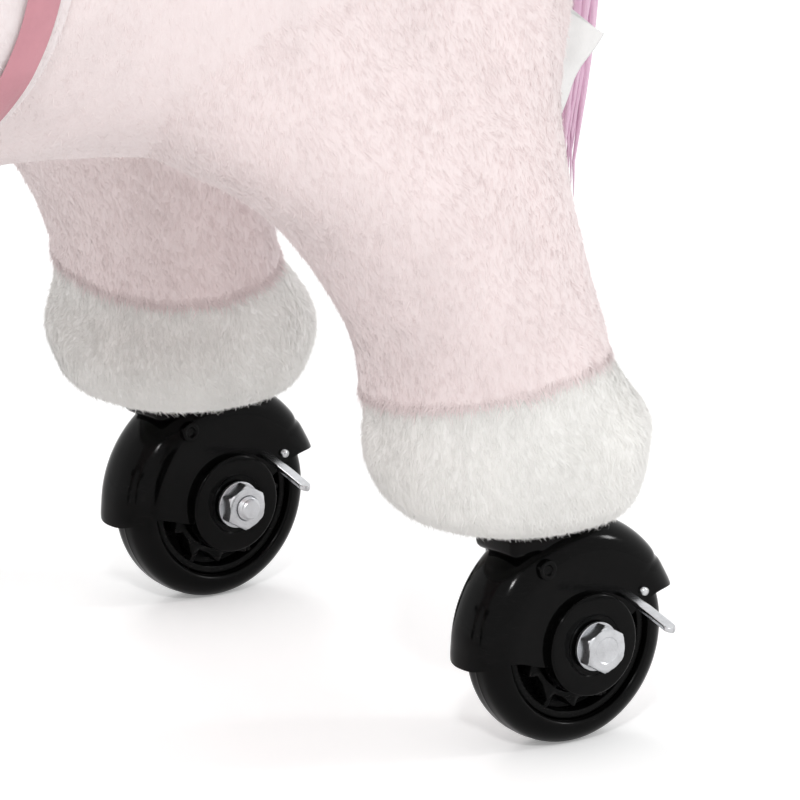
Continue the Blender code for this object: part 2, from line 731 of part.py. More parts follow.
def turning_room(name, radius):
    """The round space of the forequarters: a sphere about the front pivot on an upright cylinder."""
    centre = Vector((-FRONT_PIVOT_X, 0, FRONT_PIVOT_Z))
    steps = 5
    profile = [(0, 0), *[(radius * math.sin(math.pi / 2 * i / steps), radius * math.cos(math.pi / 2 * i / steps))
                         for i in range(1, steps)]]
    rings = [oval(centre + Vector((0, 0, height)), max(r, radius * 0.02), max(r, radius * 0.02), X_AXIS, Y_AXIS, TURN_POINTS)
             for r, height in [(radius * 0.02, radius), *profile[1:]]]
    rings.append(oval(centre, radius, radius, X_AXIS, Y_AXIS, TURN_POINTS))
    rings.append(oval(centre - Vector((0, 0, FRONT_PIVOT_Z)), radius, radius, X_AXIS, Y_AXIS, TURN_POINTS))
    return loft(name, rings)


def upright_slice(name, x_low, x_high, lean=0.0):
    """A slab across the whole body between two planes: one face leans forward above the rear pivot."""
    reach = BODY_HALF_WIDTH * 2
    slant = (BODY_TOP - REAR_PIVOT_Z) * 2 * math.tan(math.radians(lean))
    outline = [(x_low, -OVERRUN), (x_high, -OVERRUN), (x_high, REAR_PIVOT_Z), (x_high, 2 * BODY_TOP - REAR_PIVOT_Z),
               (x_low - slant, 2 * BODY_TOP - REAR_PIVOT_Z), (x_low, REAR_PIVOT_Z)]
    return plate(name, outline, -reach, reach)


def leg_rings(sign, side, shares):
    """Rings of one plush leg, from the seam up into the body."""
    rings = []
    for height, setback, half_length, inset, half_width in shares:
        z = height * LEG_HEIGHT
        x = hoof_x(sign) - setback * LEG_SETBACK + HOOF_LEAN_SHARE * LEG_SETBACK
        y = side * (TRACK / 2 - LEG_SPLAY - inset * LEG_INSET)
        rings.append(oval((x, y, z), half_length * LEG_HALF_LENGTH, half_width * LEG_HALF_WIDTH, X_AXIS, Y_AXIS,
                          LEG_POINTS, 2.2))
    return rings



def hoof_x(sign):
    """The middle of a hoof, ahead of its axle by the stem's trail."""
    return sign * WHEELBASE / 2 - STEM_TRAIL


def seam_slab(name, parent, above):
    """The slanted seam plane between hoof and leg as a tall wedge: below it, or above it."""
    low = LEG_SEAM_FRONT_Z - (LEG_SEAM_REAR_Z - LEG_SEAM_FRONT_Z)
    high = LEG_SEAM_REAR_Z + (LEG_SEAM_REAR_Z - LEG_SEAM_FRONT_Z)
    reach = HOOF_HALF_LENGTH * 3
    gap = SEAT_GAP / 2
    if above:
        outline = [(-reach, low + gap), (reach, high + gap), (reach, BODY_TOP), (-reach, BODY_TOP)]
    else:
        outline = [(-reach, -OVERRUN), (reach, -OVERRUN), (reach, high - gap), (-reach, low - gap)]
    return plate(name, outline, -HOOF_HALF_WIDTH * 2, HOOF_HALF_WIDTH * 2)


def leg_tube_ends(sign, side):
    """Return the top and the bottom of one leg tube."""
    cross_x, cross_z = (REAR_CROSS_X, REAR_CROSS_Z) if sign > 0 else (-FRONT_CROSS_X, FRONT_CROSS_Z)
    top = Vector((cross_x, side * CROSS_HALF, cross_z))
    bottom = Vector((hoof_x(sign), side * TRACK / 2, CROWN_TOP + FLANGE_THICKNESS))
    return top, bottom


def make_leg_plush(end, side_name, sign, side, place):
    """The plush leg, cut by the body and bored for its tube, and the hoof below the seam."""
    tag = end + "_" + side_name
    shares = REAR_LEG_SHARES if sign > 0 else FRONT_LEG_SHARES
    offset = place.location * -1
    leg = link(end + "_leg_plush_" + side_name, loft("leg_" + tag, leg_rings(sign, side, shares)), place,
               finish(end + "_leg_plush_" + side_name, PINK_PLUSH, 0.85), offset)
    centre = Vector((hoof_x(sign), side * TRACK / 2, 0))
    shape(leg, tool(seam_slab("leg_trim_" + tag, place, True), place, offset + centre), "INTERSECT")
    shape(leg, tool(body_skin("leg_body_cut_" + tag, PLUSH_GAP), place, offset))
    top, bottom = leg_tube_ends(sign, side)
    along = (top - bottom).normalized() * LEG_TUBE_RADIUS
    bore = rod("leg_bore_" + tag, LEG_TUBE_RADIUS + SEAT_GAP, bottom - along, top + along, 14)
    shape(leg, tool(bore, place, offset))
    if sign < 0:
        strut = rod("leg_strut_bore_" + tag, FOOT_STRUT_RADIUS + SEAT_GAP, strut_start(side), strut_end(side), 12)
        shape(leg, tool(strut, place, offset))

    rings = []
    for up, spread in HOOF_SHARES:
        z = HOOF_BOTTOM_Z + up * (LEG_SEAM_REAR_Z + OVERRUN - HOOF_BOTTOM_Z)
        x = centre.x - (up - 0.15) * LEG_SETBACK * (0.13 if sign > 0 else -0.06)
        rings.append(oval((x, side * (TRACK / 2 - LEG_SPLAY), z), HOOF_HALF_LENGTH * spread, HOOF_HALF_WIDTH * spread, X_AXIS, Y_AXIS,
                          LEG_POINTS, 2.2))
    hoof = link(end + "_hoof_" + side_name, loft("hoof_" + tag, rings), place,
                finish(end + "_hoof_" + side_name, IVORY_PLUSH, 0.85), offset)
    shape(hoof, tool(seam_slab("hoof_trim_" + tag, place, False), place, offset + centre), "INTERSECT")
    hoof_bore = rod("hoof_bore_" + tag, LEG_TUBE_RADIUS + SEAT_GAP, bottom - along, top + along, 14)
    shape(hoof, tool(hoof_bore, place, offset))
    pocket_top = CROWN_TOP + FLANGE_THICKNESS + HOOF_POCKET_GAP
    pocket = block("hoof_pocket_" + tag,
                   (2 * (STEM_TRAIL + CROWN_LENGTH / 2) + HOOF_POCKET_GAP, 2 * CHEEK_OUT + 2 * HOOF_POCKET_GAP,
                    pocket_top - HOOF_BOTTOM_Z + OVERRUN),
                   (0, 0, (pocket_top + HOOF_BOTTOM_Z - OVERRUN) / 2))
    shape(hoof, tool(pocket, place, offset + Vector((hoof_x(sign) + STEM_TRAIL / 2, centre.y, 0))))
    return hoof


# Metal frames

def make_leg_frame(name, sign, place, pivot):
    """The welded leg frame: pivot sleeve, two arms, cross tube, two leg tubes and their flanges."""
    offset = pivot * -1
    cross_x, cross_z = (REAR_CROSS_X, REAR_CROSS_Z) if sign > 0 else (-FRONT_CROSS_X, FRONT_CROSS_Z)
    frame = link(name, rod(name, PIVOT_SLEEVE_RADIUS, pivot - Vector((0, PIVOT_SLEEVE_HALF, 0)),
                           pivot + Vector((0, PIVOT_SLEEVE_HALF, 0)), 16), place,
                 finish(name, FRAME_GREY, 0.45, 0.3), offset)
    cross = rod(name + "_cross", CROSS_TUBE_RADIUS, (cross_x, -CROSS_HALF - LEG_TUBE_RADIUS / 2, cross_z),
                (cross_x, CROSS_HALF + LEG_TUBE_RADIUS / 2, cross_z), 14)
    shape(frame, tool(cross, place, offset), "UNION")
    arm_line = Vector((cross_x, 0, cross_z)) - pivot
    normal = Vector((-arm_line.z, 0, arm_line.x)).normalized() * PIVOT_SLEEVE_RADIUS * 0.8
    inset = arm_line.normalized() * AXLE_RADIUS * 1.4
    low = pivot + inset
    far = pivot + arm_line
    outline = [(low.x + normal.x, low.z + normal.z), (low.x - normal.x, low.z - normal.z),
               (far.x - normal.x, far.z - normal.z), (far.x + normal.x, far.z + normal.z)]
    for side in (-1, 1):
        middle = side * ARM_OFFSET
        arm = plate(name + "_arm", outline, middle - ARM_THICKNESS / 2, middle + ARM_THICKNESS / 2)
        shape(frame, tool(arm, place, offset), "UNION")
        top, bottom = leg_tube_ends(sign, side)
        shape(frame, tool(rod(name + "_leg", LEG_TUBE_RADIUS, bottom, top, 14), place, offset), "UNION")
        flange = block(name + "_flange", (FLANGE_LENGTH, FLANGE_WIDTH - 2 * HOOF_POCKET_GAP, FLANGE_THICKNESS),
                       (bottom.x + STEM_TRAIL / 2, bottom.y, CROWN_TOP + FLANGE_THICKNESS / 2))
        shape(frame, tool(flange, place, offset), "UNION")
    bore = rod(name + "_bore", PIVOT_BOLT_RADIUS + RUNNING_GAP, pivot - Vector((0, PIVOT_SLEEVE_HALF + OVERRUN, 0)),
               pivot + Vector((0, PIVOT_SLEEVE_HALF + OVERRUN, 0)), 12)
    return shape(frame, tool(bore, place, offset))


def make_pivot_bolt(name, place, centre):
    """The bolt through the yoke or the bracket: head on one side and lock nut on the other."""
    reach = PIVOT_SLEEVE_HALF + RUNNING_GAP + EAR_THICKNESS + SEAT_GAP
    tip = reach + BOLT_HEAD_HEIGHT
    bolt = link(name, rod(name, PIVOT_BOLT_RADIUS, (0, -tip + BOLT_TAIL, 0), (0, tip + BOLT_TAIL, 0), 12), place,
                finish(name, ZINC, 0.35, 0.9), centre)
    for side in (-1, 1):
        head = rod(name + "_hex", BOLT_HEAD_RADIUS, (0, side * reach, 0), (0, side * tip, 0), 6)
        shape(bolt, tool(head, place, centre), "UNION")
    return bolt


def make_spring(name, place, centre):
    """A torsion spring wound round the pivot sleeve as one unbroken wire."""
    count = SPRING_CURLS * POINTS_PER_CURL
    points = []
    for i in range(count + 1):
        angle = 2 * math.pi * i / POINTS_PER_CURL
        points.append((SPRING_COIL_RADIUS * math.cos(angle), -SPRING_HALF + 2 * SPRING_HALF * i / count,
                       SPRING_COIL_RADIUS * math.sin(angle)))
    pitch = 2 * SPRING_HALF / SPRING_CURLS
    print(name, "least gap between curls", round(pitch - 2 * SPRING_WIRE, 5))
    mesh = tube(name, points, SPRING_WIRE, 1)
    return link(name, mesh, place, finish(name, STEEL, 0.35, 1.0), centre)


def ear_outline(pivot_z, top_z):
    """Outline of an ear about its pivot: a round foot and a flat top."""
    return [*arc((0, 0), EAR_RADIUS, 180, 360, 6), (EAR_RADIUS, top_z - pivot_z), (-EAR_RADIUS, top_z - pivot_z)]


def add_ears(target, place, offset, pivot, top_z):
    """Join the two ears that hold a pivot bolt."""
    inner = PIVOT_SLEEVE_HALF + RUNNING_GAP
    for side in (-1, 1):
        low, high = sorted((side * inner, side * (inner + EAR_THICKNESS)))
        ear = plate(target.name + "_ear", ear_outline(pivot.z, top_z), low, high)
        shape(target, tool(ear, place, offset + pivot), "UNION")
    bore = rod(target.name + "_ear_bore", PIVOT_BOLT_RADIUS + RUNNING_GAP, (0, -2 * inner, 0), (0, 2 * inner, 0), 12)
    return shape(target, tool(bore, place, offset + pivot))


def make_spine(root):
    """The spine beam with its head tube in front and the bracket of the rear pivot behind."""
    rear_end = REAR_PIVOT_X + EAR_RADIUS * BEAM_END_SHARE
    spine = link("spine_beam", block("spine_beam", (rear_end + FRONT_PIVOT_X, SPINE_WIDTH, SPINE_HEIGHT),
                                     ((rear_end - FRONT_PIVOT_X) / 2, 0, SPINE_Z)), root,
                 finish("spine_beam", FRAME_GREY, 0.45, 0.3))
    head = rod("head_tube", HEAD_TUBE_RADIUS, (-FRONT_PIVOT_X, 0, SPINE_Z - HEAD_TUBE_HALF),
               (-FRONT_PIVOT_X, 0, SPINE_Z + HEAD_TUBE_HALF), 18)
    shape(spine, tool(head, root), "UNION")
    plate_half = PIVOT_SLEEVE_HALF + RUNNING_GAP + EAR_THICKNESS / 2
    saddle_plate = block("rear_bracket_plate", (EAR_RADIUS * BEAM_END_SHARE, 2 * plate_half, SPINE_HEIGHT / 2),
                         (REAR_PIVOT_X, 0, SPINE_Z))
    shape(spine, tool(saddle_plate, root), "UNION")
    pivot = Vector((REAR_PIVOT_X, 0, REAR_PIVOT_Z))
    room = rod("rear_pivot_room", PIVOT_SLEEVE_RADIUS + 2 * SPRING_WIRE + OVERRUN / 2,
               pivot - Vector((0, PIVOT_SLEEVE_HALF, 0)), pivot + Vector((0, PIVOT_SLEEVE_HALF, 0)), 14)
    shape(spine, tool(room, root))
    add_ears(spine, root, Vector((0, 0, 0)), pivot, SPINE_Z)
    bore = rod("head_bore", KINGPIN_RADIUS + RUNNING_GAP, (-FRONT_PIVOT_X, 0, SPINE_Z - 2 * HEAD_TUBE_HALF),
               (-FRONT_PIVOT_X, 0, SPINE_Z + 2 * HEAD_TUBE_HALF), 18)
    return shape(spine, tool(bore, root))


def make_yoke(place, offset):
    """The steering yoke: kingpin, bridge plate and the two long ears of the front pivot."""
    bridge_top = SPINE_Z - HEAD_TUBE_HALF - RUNNING_GAP
    half_width = PIVOT_SLEEVE_HALF + RUNNING_GAP + EAR_THICKNESS / 2
    yoke = link("steering_yoke", block("steering_yoke", (2 * YOKE_HALF_LENGTH, 2 * half_width, YOKE_PLATE),
                                       (-FRONT_PIVOT_X, 0, bridge_top - YOKE_PLATE / 2)), place,
                finish("steering_yoke", FRAME_GREY, 0.45, 0.3), offset)
    kingpin = rod("kingpin", KINGPIN_RADIUS, (-FRONT_PIVOT_X, 0, bridge_top - YOKE_PLATE / 2),
                  (-FRONT_PIVOT_X, 0, KINGPIN_TOP), 18)
    shape(yoke, tool(kingpin, place, offset), "UNION")
    pivot = Vector((-FRONT_PIVOT_X, 0, FRONT_PIVOT_Z))
    return add_ears(yoke, place, offset, pivot, bridge_top - YOKE_PLATE / 2)


# Shells of the body

def hollow(target, place, offset):
    """Hollow a body piece to the wall of the plush and its lining."""
    return shape(target, tool(body_skin(target.name + "_inside", -BODY_WALL), place, offset))


def bore_for_tubes(target, place, offset, sign):
    """Let the leg tubes through a body piece."""
    for side in (-1, 1):
        top, bottom = leg_tube_ends(sign, side)
        along = (top - bottom).normalized() * LEG_TUBE_RADIUS
        bore = rod(target.name + "_tube_hole", LEG_TUBE_RADIUS + SEAT_GAP, bottom - along, top + along, 14)
        shape(target, tool(bore, place, offset))
    return target


def make_torso(root):
    """The middle of the body: its back, flanks and belly, with the round space of the forequarters."""
    torso = link("torso_plush", body_skin("torso_plush", 0), root, finish("torso_plush", PINK_PLUSH, 0.85))
    foot, top = PLINTH_FOOT_Z, PLINTH_TOP_Z
    plinth = rod("neck_plinth", PLINTH_FOOT_RADIUS, (-FRONT_PIVOT_X, 0, foot), (-FRONT_PIVOT_X, 0, top), 24,
                 PLINTH_TOP_RADIUS)
    shape(torso, tool(plinth, root), "UNION")
    hollow(torso, root, Vector((0, 0, 0)))
    shape(torso, tool(turning_room("torso_turning_room", TURN_RADIUS + TURN_CLEARANCE), root))
    rear = upright_slice("torso_rear_trim", REAR_PIVOT_X - TURN_CLEARANCE / 2, BODY_REAR * 2, SWING_WEDGE_DEGREES)
    shape(torso, tool(rear, root))
    hole = rod("post_hole", POST_HOLE_RADIUS, (-FRONT_PIVOT_X, 0, SPINE_Z), (-FRONT_PIVOT_X, 0, 2 * BODY_TOP), 16)
    return shape(torso, tool(hole, root))


def make_rump(place, offset):
    """The hindquarters, which swing with the rear legs."""
    rump = link("rump_plush", body_skin("rump_plush", 0), place, finish("rump_plush", PINK_PLUSH, 0.85), offset)
    hollow(rump, place, offset)
    front = upright_slice("rump_front_trim", REAR_PIVOT_X + TURN_CLEARANCE / 2, BODY_REAR * 2)
    shape(rump, tool(front, place, offset), "INTERSECT")
    return bore_for_tubes(rump, place, offset, 1)


def make_shoulders(place, offset):
    """The forequarters, which swing and turn with the front legs."""
    chest = link("shoulder_plush", body_skin("shoulder_plush", 0), place, finish("shoulder_plush", PINK_PLUSH, 0.85),
                 offset)
    hollow(chest, place, offset)
    shape(chest, tool(turning_room("shoulder_turning_room", TURN_RADIUS), place, offset), "INTERSECT")
    return bore_for_tubes(chest, place, offset, -1)


# Neck, head and handles

def neck_rings(offset):
    """Rings of the neck, grown by an offset."""
    rings = []
    for up, reach, half_length, half_width in NECK_SHARES:
        centre = (-FRONT_PIVOT_X - reach * NECK_REACH, 0, PLINTH_TOP_Z + NECK_GAP + up * NECK_HEIGHT)
        rings.append(oval(centre, half_length * NECK_RADIUS + offset, half_width * NECK_RADIUS + offset, X_AXIS, Y_AXIS,
                          NECK_POINTS, 2.0))
    return rings


HEAD_ALONG = Vector((-math.cos(math.radians(HEAD_PITCH_DEGREES)), 0, -math.sin(math.radians(HEAD_PITCH_DEGREES))))
HEAD_UP = Vector((HEAD_ALONG.z, 0, -HEAD_ALONG.x))
HEAD_START = Vector((-HEAD_TOP_X, 0, HEAD_TOP_Z))


def head_ring(along, half_up, half_across, lift, offset=0.0):
    """One ring of the head at a share of its length."""
    centre = HEAD_START + HEAD_ALONG * (along * HEAD_LENGTH) + HEAD_UP * (lift * HEAD_LENGTH)
    return oval(centre, half_across * HEAD_RADIUS + offset, half_up * HEAD_RADIUS + offset, Y_AXIS, HEAD_UP,
                HEAD_POINTS, 2.1)


def head_section(along):
    """Sizes of the head at any share of its length, read between its rings."""
    for low, high in zip(HEAD_SHARES, HEAD_SHARES[1:]):
        if low[0] <= along <= high[0]:
            mix = (along - low[0]) / (high[0] - low[0])
            return [a + (b - a) * mix for a, b in zip(low, high)]
    return list(HEAD_SHARES[-1])


def make_band(name, along, parent, offset):
    """A strap that lies round the head."""
    gap = SEAT_GAP * 2
    half = BAND_WIDTH / 2 / HEAD_LENGTH
    first, last = head_section(along - half), head_section(along + half)
    rings = [head_ring(*first, gap), head_ring(*last, gap), head_ring(*last, gap + BAND_THICKNESS),
             head_ring(*first, gap + BAND_THICKNESS)]
    return link(name, loft(name, rings, closed=True), parent, finish(name, ROSE_RIBBON, 0.45), offset)


def make_neck_and_head(place, offset):
    """The plush neck and head with ears, eyes, straps, mane and forelock."""
    neck = link("neck_plush", loft("neck_plush", neck_rings(0)), place, finish("neck_plush", PINK_PLUSH, 0.85), offset)
    post = tube("neck_post_bore", post_points(), POST_RADIUS + SEAT_GAP, 2)
    shape(neck, tool(post, place, offset))
    bar = rod("neck_bar_bore", BAR_RADIUS + SEAT_GAP, (-BAR_X, -BAR_HALF_LENGTH, BAR_Z),
              (-BAR_X, BAR_HALF_LENGTH, BAR_Z), 20)
    shape(neck, tool(bar, place, offset))

    rings = [head_ring(*row) for row in HEAD_SHARES]
    head = link("head_plush", loft("head_plush", rings), place, finish("head_plush", PINK_PLUSH, 0.85), offset)
    shape(head, tool(loft("head_neck_cut", neck_rings(SEAT_GAP)), place, offset))

    cut = tool(loft("ear_neck_cut", neck_rings(SEAT_GAP)), place, offset)
    head_cut = tool(loft("ear_head_cut", [head_ring(*row, SEAT_GAP) for row in HEAD_SHARES]), place, offset)
    for side_name, side in (("left", -1), ("right", 1)):
        base = Vector((-EAR_BASE_X, side * EAR_SPREAD, EAR_BASE_Z - EAR_SINK))
        tip = base + Vector((-EAR_LENGTH * 0.14, side * EAR_LENGTH * 0.20, EAR_LENGTH + EAR_SINK))
        rings = []
        for share, width in ((0, 0.80), (0.25, 1.0), (0.5, 0.98), (0.72, 0.74), (0.9, 0.38), (1, 0.10)):
            rings.append(oval(base.lerp(tip, share), EAR_RADIUS_AT_BASE * width, EAR_RADIUS_AT_BASE * width * 0.55,
                              Y_AXIS, X_AXIS, 16))
        name = "ear_" + side_name
        ear = link(name, loft(name, rings), place, finish(name, PINK_PLUSH, 0.85), offset)
        scoop = ball(name + "_scoop", 1, (0, 0, 0), 16, 10)
        scoop.transform(Matrix.Translation(base.lerp(tip, 0.56) - Vector((EAR_RADIUS_AT_BASE * 0.55, 0, 0)))
                        @ Matrix.Diagonal((EAR_HOLLOW, EAR_RADIUS_AT_BASE * 0.6, EAR_LENGTH * 0.36, 1)))
        shape(ear, tool(scoop, place, offset))
        shape(ear, cut)
        shape(ear, head_cut)

    eye_centre = HEAD_START + HEAD_ALONG * (EYE_ALONG_SHARE * HEAD_LENGTH) + HEAD_UP * EYE_LIFT
    for side_name, side in (("left", -1), ("right", 1)):
        place_of_eye = eye_centre + Vector((0, side * EYE_SPREAD, 0))
        name = "eye_" + side_name
        link(name, ball(name, EYE_RADIUS, place_of_eye, 12, 8), place, finish(name, EYE_BROWN, 0.08), offset)
        shape(head, tool(ball("eye_socket", EYE_RADIUS + SEAT_GAP, place_of_eye, 12, 8), place, offset))
    make_band("noseband", NOSEBAND_SHARE, place, offset)
    make_mane(place, offset)
    return head


def make_mane(place, offset):
    """A plump crest of lobes from the forelock down the back of the neck."""
    rings = []
    steps = MANE_LOBES * 3
    for i in range(steps + 1):
        share = i / steps
        up = 1 - share * (1 - MANE_FOOT_SHARE)
        low = next(k for k in range(len(NECK_SHARES) - 1) if NECK_SHARES[k][0] <= min(up, 0.999) < NECK_SHARES[k + 1][0]
                   or k == len(NECK_SHARES) - 2)
        a, b = NECK_SHARES[low], NECK_SHARES[low + 1]
        mix = (min(up, 0.999) - a[0]) / (b[0] - a[0])
        reach, half = a[1] + (b[1] - a[1]) * mix, a[2] + (b[2] - a[2]) * mix
        wave = 0.80 + 0.20 * abs(math.sin(math.pi * MANE_LOBES * share))
        taper = min(1.0, 0.35 + 4 * min(share, 1 - share))
        crest = Vector((-FRONT_PIVOT_X - reach * NECK_REACH + half * NECK_RADIUS, 0,
                        PLINTH_TOP_Z + NECK_GAP + MANE_DEPTH * 0.9 + up * (NECK_HEIGHT - MANE_DEPTH * 0.6)))
        lean = Vector((0.35 + 0.65 * (1 - up), 0, up)).normalized() if up > 0.8 else Vector((1, 0, 0.25)).normalized()
        rings.append(oval(crest, MANE_DEPTH * wave * taper, MANE_HALF_WIDTH * wave * taper, lean, Y_AXIS, 10, 2.0))
    mane = link("mane", loft("mane", rings), place, finish("mane", HAIR_PINK, 0.8), offset)
    shape(mane, tool(loft("mane_neck_cut", neck_rings(SEAT_GAP)), place, offset))
    head_cut = loft("mane_head_cut", [head_ring(*row, SEAT_GAP) for row in HEAD_SHARES])
    return shape(mane, tool(head_cut, place, offset))


def post_points():
    """The route of the neck post: up from the kingpin, then forward with the neck."""
    return [(-FRONT_PIVOT_X, 0, KINGPIN_TOP + SEAT_GAP), (-FRONT_PIVOT_X, 0, POST_KINK_Z - POST_RADIUS),
            (-FRONT_PIVOT_X - POST_RADIUS * 0.25, 0, POST_KINK_Z), (-POST_TOP_X, 0, POST_TOP_Z)]


def make_handles(place, offset):
    """The neck post, the handlebar through it and the two ribbed grips."""
    post = link("neck_post", tube("neck_post", post_points(), POST_RADIUS, 2), place,
                finish("neck_post", FRAME_GREY, 0.45, 0.3), offset)
    bore = rod("post_bar_bore", BAR_RADIUS + SEAT_GAP, (-BAR_X, -BAR_HALF_LENGTH, BAR_Z),
               (-BAR_X, BAR_HALF_LENGTH, BAR_Z), 20)
    shape(post, tool(bore, place, offset))
    link("handlebar", rod("handlebar", BAR_RADIUS, (-BAR_X, -BAR_HALF_LENGTH, BAR_Z),
                          (-BAR_X, BAR_HALF_LENGTH, BAR_Z), 20), place, finish("handlebar", STEEL, 0.3, 1.0), offset)
    for side_name, side in (("left", -1), ("right", 1)):
        inner = BAR_HALF_LENGTH - GRIP_LENGTH
        outer = BAR_HALF_LENGTH + 2 * SEAT_GAP
        cap = GRIP_FLANGE_LENGTH / 2
        profile = [(BAR_RADIUS + PLUSH_GAP, inner), (GRIP_FLANGE_RADIUS, inner),
                   (GRIP_FLANGE_RADIUS, inner + GRIP_FLANGE_LENGTH)]
        length = outer - inner - GRIP_FLANGE_LENGTH
        for i in range(GRIP_RIBS):
            start = inner + GRIP_FLANGE_LENGTH + length * i / GRIP_RIBS
            profile += [(GRIP_RADIUS * 0.9, start + length * 0.02), (GRIP_RADIUS, start + length * 0.07),
                        (GRIP_RADIUS, start + length * 0.11)]
        profile += [(GRIP_RADIUS * 0.9, outer + cap), (0, outer + cap), (0, outer), (BAR_RADIUS + PLUSH_GAP, outer)]
        profile = [(radius, side * y) for radius, y in reversed(profile)]
        name = "grip_" + side_name
        lathe(name, profile, place, finish(name, BLACK_PLASTIC, 0.6), offset + Vector((-BAR_X, 0, BAR_Z)), steps=12)
    return post


# Saddle

def cloth_outline(inset):
    """Side outline of the saddle cloth, drawn in from its edge by an inset."""
    rear, bottom = CLOTH_FLAP_REAR - inset, CLOTH_BOTTOM_Z + inset
    front_x = -CLOTH_FRONT + inset
    middle = -CLOTH_FLAP_CENTRE
    half = (rear - front_x) / 2
    depth = half * CLOTH_BOW_SHARE
    curve = [(middle + half * math.cos(math.radians(a)), bottom + depth + depth * math.sin(math.radians(a)))
             for a in range(0, -181, -20)]
    spread = CLOTH_REAR_TOP - CLOTH_FLAP_REAR
    shoulder = [(rear, CLOTH_SHOULDER_Z - spread * 0.6 + inset * 0.4),
                (CLOTH_FLAP_REAR + spread * 0.25 - inset * 0.85, CLOTH_SHOULDER_Z + inset * 0.6),
                (CLOTH_REAR_TOP - inset, CLOTH_SHOULDER_Z + (CLOTH_TOP_Z - CLOTH_SHOULDER_Z) * 0.25 + inset * 0.8)]
    return [(front_x, CLOTH_TOP_Z), *reversed(curve), *shoulder, (CLOTH_REAR_TOP - inset, CLOTH_TOP_Z)]


def make_saddle(root):
    """The saddle cloth with its flaps, the ribbon along its edge, and the crowned seat with channels."""
    reach = BODY_HALF_WIDTH * 2
    low, high = CLOTH_GAP, CLOTH_GAP + CLOTH_THICKNESS
    cloth = link("saddle_cloth", body_skin("saddle_cloth", high), root, finish("saddle_cloth", PINK_PLUSH, 0.8))
    shape(cloth, tool(plate("cloth_outline", cloth_outline(0), -reach, reach), root), "INTERSECT")
    shape(cloth, tool(body_skin("cloth_inside", low), root))

    over = high + PLUSH_GAP
    ribbon = link("saddle_ribbon", body_skin("saddle_ribbon", over + RIBBON_THICKNESS), root,
                  finish("saddle_ribbon", ROSE_RIBBON, 0.35))
    shape(ribbon, tool(plate("ribbon_outline", cloth_outline(0), -reach, reach), root), "INTERSECT")
    shape(ribbon, tool(body_skin("ribbon_inside", over), root))
    shape(ribbon, tool(plate("ribbon_inner_outline", cloth_outline(RIBBON_WIDTH), -reach, reach), root))

    rings = []
    steps = 20
    for i in range(steps + 1):
        share = i / steps
        x = -SEAT_FRONT + share * (SEAT_FRONT + SEAT_REAR)
        ends = math.sin(math.pi * min(max(share, 0.012), 0.988)) ** 0.32
        rise = SEAT_POMMEL * max(0, 1 - share / 0.24) ** 1.6 + SEAT_CANTLE * max(0, (share - 0.70) / 0.30) ** 1.5
        channel = SEAT_CHANNEL_DEPTH if 0 < i < steps and i % (steps // SEAT_CHANNELS) == 0 else 0
        top = BODY_TOP + (SEAT_CROWN + rise) * ends - channel
        half = SEAT_HALF_WIDTH * ends * (0.84 + 0.16 * share) - channel
        ring = oval((x, 0, (top + SEAT_SKIRT_Z) / 2), half, (top - SEAT_SKIRT_Z) / 2, Y_AXIS, Z_AXIS, 20, 2.6)
        rings.append(ring)
    seat = link("saddle_seat", loft("saddle_seat", rings), root, finish("saddle_seat", ROSE_RIBBON, 0.7))
    shape(seat, tool(body_skin("seat_underside", over + RIBBON_THICKNESS + PLUSH_GAP), root))

    board = block("seat_board", (SEAT_BOARD_FRONT + SEAT_BOARD_REAR, 2 * SEAT_BOARD_HALF_WIDTH, SEAT_BOARD_THICKNESS),
                  ((SEAT_BOARD_REAR - SEAT_BOARD_FRONT) / 2, 0,
                   SPINE_Z + SPINE_HEIGHT / 2 + SEAT_GAP + SEAT_BOARD_THICKNESS / 2))
    link("seat_board", board, root, finish("seat_board", PLYWOOD, 0.6))
    board_top = SPINE_Z + SPINE_HEIGHT / 2 + 2 * SEAT_GAP + SEAT_BOARD_THICKNESS
    foam = link("seat_foam", body_skin("seat_foam", -BODY_WALL - SEAT_GAP), root, finish("seat_foam", LABEL_WHITE, 0.9))
    size = (SEAT_BOARD_FRONT + SEAT_BOARD_REAR, 2 * SEAT_BOARD_HALF_WIDTH, BODY_TOP)
    centre = ((SEAT_BOARD_REAR - SEAT_BOARD_FRONT) / 2, 0, board_top + BODY_TOP / 2)
    return shape(foam, tool(block("foam_trim", size, centre), root), "INTERSECT")


# Footrests, tail and label

def make_footrests(place, offset):
    """Ribbed treads on struts behind the front legs; the struts are welded to the leg frame."""
    for side_name, side in (("left", -1), ("right", 1)):
        name = "footrest_" + side_name
        centre = Vector((-FOOTREST_X, side * FOOTREST_SPREAD, FOOTREST_Z))
        tread = link(name, block(name, (FOOTREST_LENGTH, FOOTREST_WIDTH, FOOTREST_HEIGHT), centre), place,
                     finish(name, BLACK_PLASTIC, 0.6), offset)
        for i in range(TREAD_COUNT):
            x = FOOTREST_LENGTH * ((i + 0.5) / TREAD_COUNT - 0.5) * 0.9
            groove = block(name + "_groove", (TREAD_GROOVE, FOOTREST_WIDTH * 0.82, 2 * TREAD_DEPTH),
                           centre + Vector((x, 0, FOOTREST_HEIGHT / 2)))
            shape(tread, tool(groove, place, offset))
        bore = rod(name + "_bore", FOOT_STRUT_RADIUS + SEAT_GAP, strut_start(side), strut_end(side) +
                   Vector((SEAT_GAP, 0, 0)), 12)
        shape(tread, tool(bore, place, offset))


def strut_start(side):
    """Where a footrest strut leaves its leg tube."""
    top, bottom = leg_tube_ends(-1, side)
    share = (FOOTREST_Z - bottom.z) / (top.z - bottom.z)
    return bottom.lerp(top, share)


def strut_end(side):
    """The blind end of a footrest strut inside its tread."""
    return Vector((-FOOTREST_X + FOOTREST_LENGTH / 2 - FOOT_STRUT_REACH / 2, side * FOOTREST_SPREAD, FOOTREST_Z))


